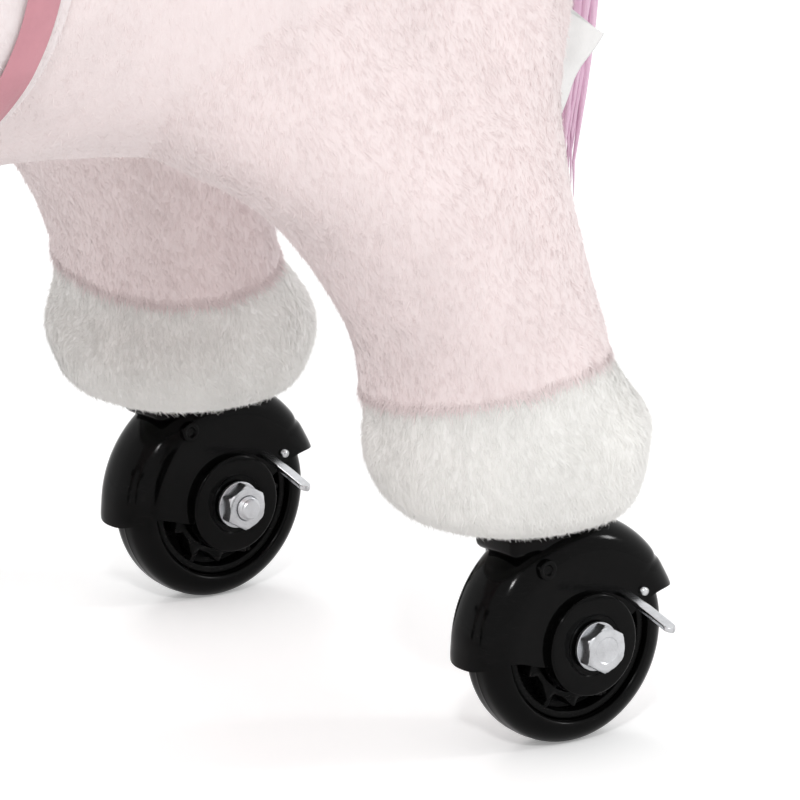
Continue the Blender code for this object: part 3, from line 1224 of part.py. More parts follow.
def add_struts(frame, place, offset):
    """Weld the footrest struts on the front leg frame."""
    for side in (-1, 1):
        strut = rod("foot_strut", FOOT_STRUT_RADIUS, strut_start(side), strut_end(side), 12)
        shape(frame, tool(strut, place, offset), "UNION")


def make_tail(place, offset):
    """The tail: a tapered lock that leaves the rump and falls in a shallow bow."""
    rings = []
    for i in range(TAIL_POINTS + 1):
        share = i / TAIL_POINTS
        x = TAIL_ROOT_X + TAIL_BOW * math.sin(math.pi * min(share * 1.25 + 0.08, 1)) ** 0.8
        z = TAIL_ROOT_Z - TAIL_LENGTH * share ** 1.15
        fat = TAIL_RADIUS * (0.42 + 0.62 * math.sin(math.pi * share ** 0.85)) * (1 - 0.35 * share)
        rings.append(oval((x, 0, z), fat * 0.72, fat, X_AXIS, Y_AXIS, 12, 2.0))
    tail = link("tail", loft("tail", rings), place, finish("tail", HAIR_PINK, 0.8), offset)
    return shape(tail, tool(body_skin("tail_body_cut", PLUSH_GAP), place, offset))


def make_label(place, offset):
    """The care label: a folded satin loop sewn in the rear seam, bare of any words."""
    outline = [(0, 0), (LABEL_WIDTH, -LABEL_WIDTH * 0.12), (LABEL_WIDTH, -LABEL_LENGTH),
               (LABEL_WIDTH * 0.55, -LABEL_LENGTH - LABEL_WIDTH * 0.18), (0, -LABEL_LENGTH)]
    label = link("care_label", plate("care_label", outline, -LABEL_THICKNESS / 2, LABEL_THICKNESS / 2), place,
                 finish("care_label", LABEL_WHITE, 0.4), offset + Vector((LABEL_X, -LABEL_Y, LABEL_TOP_Z)))
    return shape(label, tool(body_skin("label_body_cut", PLUSH_GAP), place, offset))


def main():
    """Build every body and hang it on the one that carries it."""
    root = empty("pony", (CENTRE_SHIFT, 0, 0))
    make_spine(root)
    make_torso(root)
    make_saddle(root)
    rear_pivot = Vector((REAR_PIVOT_X, 0, REAR_PIVOT_Z))
    make_pivot_bolt("rear_pivot_bolt", root, rear_pivot)
    make_spring("rear_spring", root, rear_pivot)

    steering = empty("steering", (-FRONT_PIVOT_X, 0, 0), root)
    back = Vector((FRONT_PIVOT_X, 0, 0))
    make_yoke(steering, back)
    make_handles(steering, back)
    make_neck_and_head(steering, back)
    make_pivot_bolt("front_pivot_bolt", steering, Vector((0, 0, FRONT_PIVOT_Z)))
    make_spring("front_spring", steering, Vector((0, 0, FRONT_PIVOT_Z)))

    front_pivot = Vector((-FRONT_PIVOT_X, 0, FRONT_PIVOT_Z))
    front = empty("front_legs", front_pivot, root)
    rear = empty("rear_legs", rear_pivot, root)
    front_frame = make_leg_frame("front_leg_frame", -1, front, front_pivot)
    add_struts(front_frame, front, front_pivot * -1)
    make_leg_frame("rear_leg_frame", 1, rear, rear_pivot)
    make_shoulders(front, front_pivot * -1)
    make_rump(rear, rear_pivot * -1)
    for side_name, side in (("left", -1), ("right", 1)):
        make_leg_plush("front", side_name, -1, side, front)
        make_leg_plush("rear", side_name, 1, side, rear)
        wheel_unit("front", side_name, *local_axle(-1, side, front_pivot), front)
        wheel_unit("rear", side_name, *local_axle(1, side, rear_pivot), rear)
    make_footrests(front, front_pivot * -1)
    make_tail(rear, rear_pivot * -1)
    make_label(rear, rear_pivot * -1)


def local_axle(sign, side, pivot):
    """The axle's place counted from its leg pivot."""
    return sign * WHEELBASE / 2 - pivot.x, side * TRACK / 2


main()
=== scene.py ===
"""Looks of the plush ride on pony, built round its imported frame.

The pony faces -X, its left is -Y and +Z is up. Lengths are in metres in the frame's own coordinates.
Every form is a parametric surface worked out with numpy: grids over a section and a route, joined where
two plush forms meet by the same soft fillet on both.
"""
import logging
import math
from dataclasses import dataclass, field
from enum import Enum
from typing import Callable, Iterable, Sequence

import bpy
import numpy as np
from mathutils import Matrix, Vector


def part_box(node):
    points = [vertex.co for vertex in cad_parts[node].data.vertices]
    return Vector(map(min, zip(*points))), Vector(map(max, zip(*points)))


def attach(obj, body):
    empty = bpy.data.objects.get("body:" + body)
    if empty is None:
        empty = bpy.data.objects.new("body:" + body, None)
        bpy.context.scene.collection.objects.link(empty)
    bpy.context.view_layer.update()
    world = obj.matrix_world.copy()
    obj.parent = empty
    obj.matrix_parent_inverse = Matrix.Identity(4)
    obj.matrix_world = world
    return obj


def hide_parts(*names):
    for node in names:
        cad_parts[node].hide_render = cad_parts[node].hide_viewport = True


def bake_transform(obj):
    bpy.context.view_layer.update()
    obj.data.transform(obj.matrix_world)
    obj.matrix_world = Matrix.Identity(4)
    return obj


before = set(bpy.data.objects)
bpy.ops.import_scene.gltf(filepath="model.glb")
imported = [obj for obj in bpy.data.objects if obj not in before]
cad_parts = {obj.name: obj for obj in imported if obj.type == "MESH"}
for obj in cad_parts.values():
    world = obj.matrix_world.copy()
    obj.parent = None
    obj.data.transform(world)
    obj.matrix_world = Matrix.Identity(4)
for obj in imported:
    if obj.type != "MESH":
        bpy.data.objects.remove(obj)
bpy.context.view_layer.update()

logging.basicConfig(level=logging.INFO, format="%(name)s %(message)s")
LOG = logging.getLogger("pony")

Array = np.ndarray


class Body(str, Enum):
    """The moving bodies that the plush and the metal ride on."""

    ROOT = "root"
    STEERING = "steering"
    FRONT = "front_legs"
    REAR = "rear_legs"


class End(str, Enum):
    """The two ends of the pony."""

    FRONT = "front"
    REAR = "rear"

    @property
    def sign(self) -> int:
        """Return 1 behind and -1 in front."""
        return 1 if self is End.REAR else -1

    @property
    def body(self) -> Body:
        """Return the body that carries this end's legs."""
        return Body.REAR if self is End.REAR else Body.FRONT


class Side(str, Enum):
    """The two sides of the pony."""

    LEFT = "left"
    RIGHT = "right"

    @property
    def sign(self) -> int:
        """Return -1 on the left and 1 on the right."""
        return -1 if self is Side.LEFT else 1


def frame_centre(node: str) -> Vector:
    """Return the middle of a frame node's box.

    Args:
        node: the node's name.

    Returns:
        The point in the middle of its box.
    """
    low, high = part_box(node)
    return (Vector(low) + Vector(high)) / 2


SHIFT = frame_centre("rear_pivot_bolt").x - 0.120


# Numbers and fields


def hermite(x: Array, knots: Array, values: Array) -> Array:
    """Read a table smoothly.

    The value between two knots is the cubic whose slope at each knot is the mean slope of its neighbours.

    Args:
        x: places to read at.
        knots: the table's rising places.
        values: the table's values.

    Returns:
        The values at x.
    """
    x = np.clip(x, knots[0], knots[-1])
    slope = np.gradient(values, knots)
    i = np.clip(np.searchsorted(knots, x, side="right") - 1, 0, len(knots) - 2)
    h = knots[i + 1] - knots[i]
    t = (x - knots[i]) / h
    a, b = values[i], values[i + 1]
    return ((2 * t**3 - 3 * t**2 + 1) * a + (t**3 - 2 * t**2 + t) * h * slope[i]
            + (3 * t**2 - 2 * t**3) * b + (t**3 - t**2) * h * slope[i + 1])


def smoothstep(low: float, high: float, x: Array) -> Array:
    """Return 0 below low, 1 above high and a smooth rise between.

    Args:
        low: where the rise starts.
        high: where the rise ends.
        x: places along X.

    Returns:
        The values.
    """
    t = np.clip((x - low) / (high - low), 0.0, 1.0)
    return t * t * (3 - 2 * t)


def lattice_noise(points: Array, size: float, seed: int) -> Array:
    """Return smooth noise between -1 and 1 with features of about one size.

    Each corner of a cubic lattice has a hashed value, mixed by smoothed distances along the three axes.

    Args:
        points: an array of points.
        size: the lattice's spacing.
        seed: changes the pattern.

    Returns:
        One value for each point.
    """
    p = points / size
    base = np.floor(p).astype(np.int64)
    t = p - base
    t = t * t * (3 - 2 * t)
    total = np.zeros(points.shape[:-1])
    for corner in range(8):
        step = np.array([corner & 1, (corner >> 1) & 1, (corner >> 2) & 1])
        c = base + step
        h = c[..., 0] * 374761393 + c[..., 1] * 668265263 + c[..., 2] * 2147483647 + seed * 1274126177
        h = h & 0xFFFFFFFF
        h = ((h ^ (h >> 13)) * 1274126177) & 0xFFFFFFFF
        value = ((h ^ (h >> 16)) & 0xFFFF) / 32767.5 - 1.0
        weight = np.prod(np.where(step == 1, t, 1 - t), axis=-1)
        total += weight * value
    return total


def unit(vectors: Array) -> Array:
    """Return vectors scaled to length one.

    Args:
        vectors: the vectors.

    Returns:
        The unit vectors.
    """
    return vectors / np.maximum(np.linalg.norm(vectors, axis=-1, keepdims=True), 1e-12)


def blunt(wave: Array, power: float) -> Array:
    """Return sines or cosines squared off, as a superellipse of this power has them.

    Args:
        wave: the sines or cosines.
        power: the superellipse's power, 2 being round.

    Returns:
        The values, each with its own sign.
    """
    return np.sign(wave) * np.abs(wave) ** (2 / power)


def grid_normals(grid: Array, wrap: bool = True) -> Array:
    """Return outward normals of a grid of rings, from the cross product of its two directions.

    Args:
        grid: the rings, as rows, columns and three coordinates.
        wrap: whether each ring closes on itself.

    Returns:
        One direction for each point.
    """
    along = np.gradient(grid, axis=0)
    if wrap:
        around = (np.roll(grid, -1, axis=1) - np.roll(grid, 1, axis=1)) / 2
    else:
        around = np.gradient(grid, axis=1)
    return unit(np.cross(around, along))


# Making meshes


def grid_faces(rows: int, cols: int, wrap: bool = True, start: int = 0) -> Array:
    """Return the quads of a grid whose rings may close on themselves.

    Args:
        rows: how many rings.
        cols: how many points a ring has.
        wrap: whether each ring closes on itself.
        start: the number of the first point.

    Returns:
        Four point numbers for each face.
    """
    i, j = np.meshgrid(np.arange(rows - 1), np.arange(cols if wrap else cols - 1), indexing="ij")
    k = (j + 1) % cols
    quads = np.stack([i * cols + j, i * cols + k, (i + 1) * cols + k, (i + 1) * cols + j], axis=-1)
    return quads.reshape(-1, 4) + start


@dataclass
class Sheaf:
    """Collects grids of points as one mesh."""

    points: list[Array] = field(default_factory=list)
    faces: list[Array] = field(default_factory=list)
    marks: list[Array] = field(default_factory=list)
    count: int = 0

    def add(self, grid: Array, wrap: bool = True, caps: bool = True, mark: float = 0.0) -> "Sheaf":
        """Add a grid of rings, closing its two ends with fans where asked.

        Args:
            grid: points as rows, columns and three coordinates.
            wrap: whether each ring closes on itself.
            caps: whether the first and last rings are filled.
            mark: a value kept on the points for the finish to read.

        Returns:
            This sheaf.
        """
        rows, cols = grid.shape[:2]
        self.points.append(grid.reshape(-1, 3))
        self.faces.append(grid_faces(rows, cols, wrap, self.count))
        total = rows * cols
        if caps and wrap:
            for row, turn in ((0, 1), (rows - 1, -1)):
                self.points.append(grid[row].mean(axis=0, keepdims=True))
                ring = np.arange(cols) + row * cols + self.count
                middle = np.full(cols, self.count + total)
                fan = np.stack([middle, np.roll(ring, -1), ring, ring], axis=-1)
                self.faces.append(fan if turn == 1 else fan[:, [0, 2, 1, 1]])
                total += 1
        self.marks.append(np.full(total, mark))
        self.count += total
        return self

    def pile(self, grid: Array, count: int, length: float = 0.0034, seed: int = 1, wrap: bool = True
             ) -> "Sheaf":
        """Plant short blades of pile on a grid: each leaves the skin low, combed down and back.

        A blade is one slim triangle. Its root is a random place on the grid, its direction the surface's
        downhill line turned by a little noise, lifted off the skin by about a third of a right angle.

        Args:
            grid: the skin's rings.
            count: how many blades are planted.
            length: a blade's usual length.
            seed: changes the planting.
            wrap: whether the rings close on themselves.

        Returns:
            This sheaf.
        """
        rng = np.random.default_rng(seed)
        rows, cols = grid.shape[:2]
        normal = grid_normals(grid, wrap)
        out = ((grid - grid.mean(axis=1, keepdims=True)) * normal).sum(-1).mean()
        normal = normal * (1 if out > 0 else -1)
        right = np.roll(grid, -1, axis=1) - grid
        ahead = np.zeros_like(grid)
        ahead[:-1] = grid[1:] - grid[:-1]
        area = np.linalg.norm(np.cross(right, ahead), axis=-1)
        if not wrap:
            area[:, -1] = 0
        area[-1] = 0
        weight = area.ravel() / area.sum()
        cell = rng.choice(rows * cols, count, p=weight)
        i, j = cell // cols, cell % cols
        u, v = rng.uniform(size=(2, count, 1))
        base = grid[i, j] + right[i, j] * u + ahead[i, j] * v
        n = normal[i, j]
        swirl = lattice_noise(base, 0.022, seed + 40)[:, None] * 0.8
        comb = np.array([0.28, 0.0, -1.0]) + np.concatenate([swirl, swirl * 0.6, swirl * 0.2], axis=1)
        comb = comb + rng.normal(0, 0.30, (count, 3))
        comb = unit(comb - (comb * n).sum(-1, keepdims=True) * n)
        lift = rng.uniform(0.14, 0.46, (count, 1))
        way = unit(comb + n * lift)
        side = unit(np.cross(way, n))
        size = length * rng.uniform(0.6, 1.25, (count, 1))
        size = size * np.where(rng.uniform(size=(count, 1)) > 0.86, 1.6, 1.0)
        wide = 0.00024 * rng.uniform(0.7, 1.3, (count, 1))
        root = base - n * 0.0003
        blades = np.stack([root - side * wide, root + side * wide, root + way * size], axis=1)
        index = np.arange(count * 3).reshape(-1, 3) + self.count
        self.points.append(blades.reshape(-1, 3))
        self.faces.append(np.concatenate([index, index[:, 2:]], axis=1))
        self.marks.append(np.ones(count * 3))
        self.count += count * 3
        return self

    def build(self, name: str, finish: bpy.types.Material, smooth: bool = True) -> bpy.types.Object:
        """Make the object, with its place in its points.

        Args:
            name: the object's name.
            finish: its material.
            smooth: whether its faces are shaded smooth.

        Returns:
            The new object.
        """
        points = np.concatenate(self.points)
        faces = np.concatenate(self.faces)
        three = faces[:, 2] == faces[:, 3]
        sizes = np.where(three, 3, 4)
        keep = np.ones(faces.shape, bool)
        keep[three, 3] = False
        loops = faces[keep]
        mesh = bpy.data.meshes.new(name)
        mesh.vertices.add(len(points))
        mesh.vertices.foreach_set("co", points.astype(np.float32).ravel())
        mesh.loops.add(len(loops))
        mesh.loops.foreach_set("vertex_index", loops.astype(np.int32))
        mesh.polygons.add(len(faces))
        starts = np.concatenate([[0], np.cumsum(sizes)[:-1]])
        mesh.polygons.foreach_set("loop_start", starts.astype(np.int32))
        mesh.polygons.foreach_set("loop_total", sizes.astype(np.int32))
        mesh.polygons.foreach_set("use_smooth", np.full(len(faces), smooth))
        mesh.update(calc_edges=True)
        mark = mesh.attributes.new("mark", "FLOAT", "POINT")
        mark.data.foreach_set("value", np.concatenate(self.marks).astype(np.float32))
        mesh.materials.append(finish)
        obj = bpy.data.objects.new(name, mesh)
        bpy.context.scene.collection.objects.link(obj)
        return obj


def revolve(profile: Sequence[tuple[float, float]], centre: Sequence[float], steps: int = 72) -> Array:
    """Turn a profile of radius and place along Y about the Y axis.

    Ring i holds the point at radius r and place y, turned by equal angles.

    Args:
        profile: radius and place pairs.
        centre: the axis point.
        steps: points in each ring.

    Returns:
        A grid of rings.
    """
    angle = np.linspace(0, 2 * math.pi, steps, endpoint=False)
    rows = [np.stack([r * np.cos(angle), np.full(steps, y), r * np.sin(angle)], axis=-1)
            for r, y in profile]
    return np.array(rows) + np.array(centre)


def turned(profile: Sequence[tuple[float, float]], centre: Sequence[float], sign: int, steps: int) -> Array:
    """Turn a profile about the Y axis on one side of a middle plane, so that its faces look outward.

    Args:
        profile: radius and place pairs, as they are on the side of positive Y.
        centre: the axis point.
        sign: which side, 1 or -1.
        steps: points in each ring.

    Returns:
        A grid of rings.
    """
    grid = revolve([(r, sign * y) for r, y in profile], centre, steps)
    return grid if sign > 0 else grid[:, ::-1]


def rounded(profile: Sequence[tuple[float, float]], radius: float, steps: int = 4, closed: bool = False
            ) -> list[tuple[float, float]]:
    """Round a profile's corners.

    At each corner the profile leaves its sides at the radius, or at under half the side, and follows the
    quadratic curve that has the corner as its middle control point.

    Args:
        profile: radius and place along the axis, in turn.
        radius: the radius, in metres.
        steps: how many points each corner or turn gets.
        closed: whether the profile ends where it starts.

    Returns:
        The profile with its corners rounded.
    """
    pts = [np.array(p, float) for p in profile]
    out: list[tuple[float, float]] = []
    n = len(pts)
    for i, p in enumerate(pts):
        if not closed and i in (0, n - 1):
            out.append(tuple(p))
            continue
        a, b = pts[i - 1] - p, pts[(i + 1) % n] - p
        la, lb = np.linalg.norm(a), np.linalg.norm(b)
        start, end = p + a / la * min(radius, la * 0.49), p + b / lb * min(radius, lb * 0.49)
        for t in np.linspace(0, 1, steps + 1):
            out.append(tuple(start * (1 - t) ** 2 + 2 * p * t * (1 - t) + end * t**2))
    return out


def sweep(route: Array, section: Callable[[float], Array], up: Sequence[float] = (0, 0, 1)) -> Array:
    """Carry a section along a route.

    At each point of the route the section's two coordinates lie across the route's direction, on the axis
    nearest to up and on the one square to both.

    Args:
        route: points along the way.
        section: a function of the share of the route that gives the ring in two coordinates.
        up: the direction that the section's second coordinate keeps to.

    Returns:
        A grid of rings.
    """
    tangent = unit(np.gradient(route, axis=0))
    across = unit(np.cross(tangent, np.array(up, float)))
    over = np.cross(across, tangent)
    rows = []
    for i, share in enumerate(np.linspace(0, 1, len(route))):
        ring = section(share)
        rows.append(route[i] + ring[:, :1] * across[i] + ring[:, 1:] * over[i])
    return np.array(rows)[:, ::-1]


def circle(radius: float, count: int, flat: float = 1.0) -> Array:
    """Return a ring in two coordinates, flattened by a share.

    Args:
        radius: the ring's radius.
        count: how many points.
        flat: how flat the ring is, 1 being round.

    Returns:
        The ring.
    """
    t = np.linspace(0, 2 * math.pi, count, endpoint=False)
    return np.stack([radius * np.cos(t), radius * flat * np.sin(t)], axis=-1)


def box_grid(size: Sequence[float], centre: Sequence[float], corner: float, steps: int = 3) -> Array:
    """Return a softly cornered box as rings up its height: each ring is a rounded rectangle.

    Args:
        size: its sizes, in metres.
        centre: its middle.
        corner: the corners' radius.
        steps: how many points each corner gets.

    Returns:
        The rings.
    """
    hx, hy, hz = (s / 2 for s in size)
    rows = []
    levels = [(-hz, -corner)] + [(-hz + corner * (1 - math.cos(a)), -corner * (1 - math.sin(a)))
                                 for a in np.linspace(0, math.pi / 2, steps + 1)][1:]
    levels += [(-z, inset) for z, inset in reversed(levels)]
    for z, inset in levels:
        ring = []
        for sx, sy, start in ((1, 1, 0), (-1, 1, 90), (-1, -1, 180), (1, -1, 270)):
            for a in np.radians(np.linspace(start, start + 90, steps + 1)):
                reach = corner + inset
                ring.append((sx * (hx - corner) + reach * math.cos(a),
                             sy * (hy - corner) + reach * math.sin(a), z))
        rows.append(ring)
    return np.array(rows) + np.array(centre)


# Finishes


class Tree:
    """A small helper round a material's node tree."""

    def __init__(self, name: str) -> None:
        """Start a material with a Principled shader.

        Args:
            name: the material's name.
        """
        self.material = bpy.data.materials.new(name)
        self.material.use_nodes = True
        self.nodes = self.material.node_tree.nodes
        self.links = self.material.node_tree.links
        self.shader = self.nodes["Principled BSDF"]

    def node(self, kind: str, **values: object) -> bpy.types.Node:
        """Add a node, with its settings and the defaults of its inputs given by name.

        Args:
            kind: the node's type.

        Returns:
            The node.
        """
        made = self.nodes.new(kind)
        for key, value in values.items():
            if key in made.bl_rna.properties:
                setattr(made, key, value)
            else:
                made.inputs[key.replace("_", " ")].default_value = value
        return made

    def join(self, source: bpy.types.NodeSocket, target: bpy.types.NodeSocket) -> None:
        """Link two sockets.

        Args:
            source: the socket that gives.
            target: the socket that takes.
        """
        self.links.new(source, target)

    def coordinates(self, scale: Sequence[float] = (1.0, 1.0, 1.0)) -> bpy.types.NodeSocket:
        """Return object coordinates at a scale.

        Args:
            scale: the scale.

        Returns:
            The socket with the coordinates.
        """
        place = self.node("ShaderNodeTexCoord")
        mapping = self.node("ShaderNodeMapping")
        mapping.inputs["Scale"].default_value = scale
        self.join(place.outputs["Object"], mapping.inputs["Vector"])
        return mapping.outputs["Vector"]

    def noise(self, vector: bpy.types.NodeSocket, scale: float, detail: float = 3.0, rough: float = 0.55
              ) -> bpy.types.NodeSocket:
        """Return a noise value.

        Args:
            vector: the coordinates.
            scale: how many features to a metre.
            detail: how many octaves.
            rough: how strong the finer octaves are.

        Returns:
            The socket with the value.
        """
        made = self.node("ShaderNodeTexNoise", Scale=scale, Detail=detail, Roughness=rough)
        self.join(vector, made.inputs["Vector"])
        return made.outputs["Fac"]

    def ramp(self, value: bpy.types.NodeSocket, stops: Sequence[tuple[float, Sequence[float]]]
             ) -> bpy.types.NodeSocket:
        """Return a colour read from a ramp.

        Args:
            value: the value to read by.
            stops: positions and colours, rising.

        Returns:
            The socket with the colour.
        """
        made = self.node("ShaderNodeValToRGB")
        for element, (position, color) in zip(made.color_ramp.elements, (stops[0], stops[-1])):
            element.position, element.color = position, (*color, 1)
        for position, color in stops[1:-1]:
            made.color_ramp.elements.new(position).color = (*color, 1)
        self.join(value, made.inputs["Fac"])
        return made.outputs["Color"]

    def mix(self, factor: bpy.types.NodeSocket | float, a: object, b: object, mode: str = "MIX"
            ) -> bpy.types.NodeSocket:
        """Return two colours mixed.

        Args:
            factor: the share of the second colour.
            a: the first colour.
            b: the second colour.
            mode: how they blend.

        Returns:
            The socket with the colour.
        """
        made = self.node("ShaderNodeMix", data_type="RGBA", blend_type=mode)
        for socket, value in ((made.inputs[0], factor), (made.inputs[6], a), (made.inputs[7], b)):
            if isinstance(value, bpy.types.NodeSocket):
                self.join(value, socket)
            else:
                socket.default_value = value if isinstance(value, float) else (*value, 1)
        return made.outputs[2]

    def paint(self, color: bpy.types.NodeSocket) -> None:
        """Give the shader its colour.

        Args:
            color: the socket with the colour.
        """
        self.join(color, self.shader.inputs["Base Color"])

    def bump(self, height: bpy.types.NodeSocket, strength: float, distance: float) -> None:
        """Put a bump on the shader, above any bump that is there.

        Args:
            height: the height to follow.
            strength: how strongly it shows.
            distance: how high it stands, in metres.
        """
        made = self.node("ShaderNodeBump", Strength=strength, Distance=distance)
        self.join(height, made.inputs["Height"])
        normal = self.shader.inputs["Normal"]
        if normal.is_linked:
            self.join(normal.links[0].from_socket, made.inputs["Normal"])
        self.join(made.outputs["Normal"], normal)

    def set(self, **values: object) -> None:
        """Set the shader's own values by name."""
        for key, value in values.items():
            self.shader.inputs[key.replace("_", " ")].default_value = value


@dataclass(frozen=True)
class Plush:
    """Short brushed pile: streaks along the pile, soft patches where it was stroked, and sheen."""

    name: str
    light: tuple[float, float, float]
    dark: tuple[float, float, float]
    pile: tuple[float, float, float] = (1.0, 1.0, 0.22)
    depth: float = 0.0009

    def build(self) -> bpy.types.Material:
        """Return the material."""
        tree = Tree(self.name)
        streak = tree.noise(tree.coordinates(self.pile), 420.0, 4.0, 0.62)
        fine = tree.noise(tree.coordinates(self.pile), 1300.0, 2.0, 0.5)
        patch = tree.noise(tree.coordinates((1.0, 1.0, 0.6)), 26.0, 4.0, 0.6)
        hair = tree.ramp(streak, [(0.34, self.dark), (0.62, self.light)])
        stroked = tree.ramp(patch, [(0.36, tuple(c * 0.93 for c in self.light)), (0.64, self.light)])
        color = tree.mix(0.22, stroked, hair)
        tree.paint(color)
        tree.set(Roughness=0.92, Sheen_Weight=0.35, Sheen_Roughness=0.45, Specular_IOR_Level=0.18)
        tree.bump(streak, 0.28, self.depth)
        tree.bump(fine, 0.35, self.depth * 0.5)
        tree.bump(patch, 0.6, self.depth * 3.0)
        return tree.material


@dataclass(frozen=True)
class Satin:
    """Woven satin: close cross ribs, a soft shine and slight fading."""

    name: str
    color: tuple[float, float, float]
    roughness: float = 0.36
    ribs: float = 900.0

    def build(self) -> bpy.types.Material:
        """Return the material."""
        tree = Tree(self.name)
        weave = tree.noise(tree.coordinates(), self.ribs, 2.0, 0.5)
        fade = tree.noise(tree.coordinates(), 60.0, 3.0, 0.5)
        color = tree.ramp(fade, [(0.3, tuple(c * 0.88 for c in self.color)), (0.7, self.color)])
        tree.paint(color)
        tree.set(Roughness=self.roughness, Sheen_Weight=0.5, Sheen_Roughness=0.3, Anisotropic=0.5)
        tree.bump(weave, 0.35, 0.0003)
        tree.bump(fade, 0.3, 0.0008)
        return tree.material


@dataclass(frozen=True)
class Plastic:
    """Moulded plastic: faint flow marks, hairline scuffs and a clear skin."""

    name: str
    color: tuple[float, float, float]
    roughness: float = 0.14
    coat: float = 0.5
    shine: float = 0.09

    def build(self) -> bpy.types.Material:
        """Return the material."""
        tree = Tree(self.name)
        flow = tree.noise(tree.coordinates(), 34.0, 3.0, 0.5)
        scuff = tree.noise(tree.coordinates((1.0, 1.0, 6.0)), 240.0, 5.0, 0.7)
        color = tree.ramp(scuff, [(0.45, self.color), (0.85, tuple(c * 1.5 + 0.002 for c in self.color))])
        tree.paint(color)
        rough = tree.ramp(scuff, [(0.4, (self.roughness,) * 3), (0.8, (self.roughness * 1.9,) * 3)])
        tree.join(rough, tree.shader.inputs["Roughness"])
        tree.set(Coat_Weight=self.coat, Coat_Roughness=0.08, Specular_IOR_Level=self.shine)
        tree.bump(flow, 0.12, 0.0006)
        return tree.material


@dataclass(frozen=True)
class Rubber:
    """Smooth rubber or foam tyre stock: fine grain, a little floor dust in the noise."""

    name: str
    color: tuple[float, float, float]
    roughness: float = 0.42

    def build(self) -> bpy.types.Material:
        """Return the material."""
        tree = Tree(self.name)
        grain = tree.noise(tree.coordinates(), 1500.0, 2.0, 0.5)
        dust = tree.noise(tree.coordinates(), 110.0, 5.0, 0.65)
        color = tree.ramp(dust, [(0.5, self.color), (0.9, tuple(c * 1.6 + 0.001 for c in self.color))])
        tree.paint(color)
        tree.set(Roughness=self.roughness, Specular_IOR_Level=0.09)
        tree.bump(grain, 0.25, 0.0001)
        return tree.material


@dataclass(frozen=True)
class Metal:
    """Plated or polished steel: fine draw lines and faint stains."""

    name: str
    color: tuple[float, float, float]
    roughness: float = 0.24
    lines: tuple[float, float, float] = (1.0, 6.0, 6.0)

    def build(self) -> bpy.types.Material:
        """Return the material."""
        tree = Tree(self.name)
        drawn = tree.noise(tree.coordinates(self.lines), 700.0, 3.0, 0.6)
        stain = tree.noise(tree.coordinates(), 160.0, 4.0, 0.6)
        color = tree.ramp(stain, [(0.35, tuple(c * 0.8 for c in self.color)), (0.7, self.color)])
        tree.paint(color)
        rough = tree.ramp(drawn, [(0.3, (self.roughness * 0.8,) * 3), (0.7, (self.roughness * 1.4,) * 3)])
        tree.join(rough, tree.shader.inputs["Roughness"])
        tree.set(Metallic=1.0)
        tree.bump(drawn, 0.2, 0.0001)
        return tree.material


@dataclass(frozen=True)
class Hair:
    """Long pile of the tail and mane: strands of unlike pinks with a silky lobe."""

    name: str
    light: tuple[float, float, float]
    dark: tuple[float, float, float]

    def build(self) -> bpy.types.Material:
        """Return the material."""
        tree = Tree(self.name)
        strand = tree.noise(tree.coordinates((1.0, 1.0, 0.10)), 900.0, 3.0, 0.6)
        mark = tree.node("ShaderNodeAttribute", attribute_name="mark")
        tone = tree.ramp(mark.outputs["Fac"], [(0.0, self.dark), (1.0, self.light)])
        color = tree.mix(0.5, tone, tree.ramp(strand, [(0.35, self.dark), (0.65, self.light)]))
        tree.paint(color)
        tree.set(Roughness=0.55, Sheen_Weight=0.5, Anisotropic=0.4)
        tree.bump(strand, 0.6, 0.0008)
        return tree.material


@dataclass(frozen=True)
class Timber:
    """Plain plywood for the seat board."""

    name: str = "plywood"

    def build(self) -> bpy.types.Material:
        """Return the material."""
        tree = Tree(self.name)
        grain = tree.noise(tree.coordinates((0.12, 1.0, 3.0)), 160.0, 5.0, 0.6)
        color = tree.ramp(grain, [(0.35, (0.42, 0.28, 0.15)), (0.7, (0.66, 0.49, 0.30))])
        tree.paint(color)
        tree.set(Roughness=0.6)
        tree.bump(grain, 0.3, 0.0004)
        return tree.material


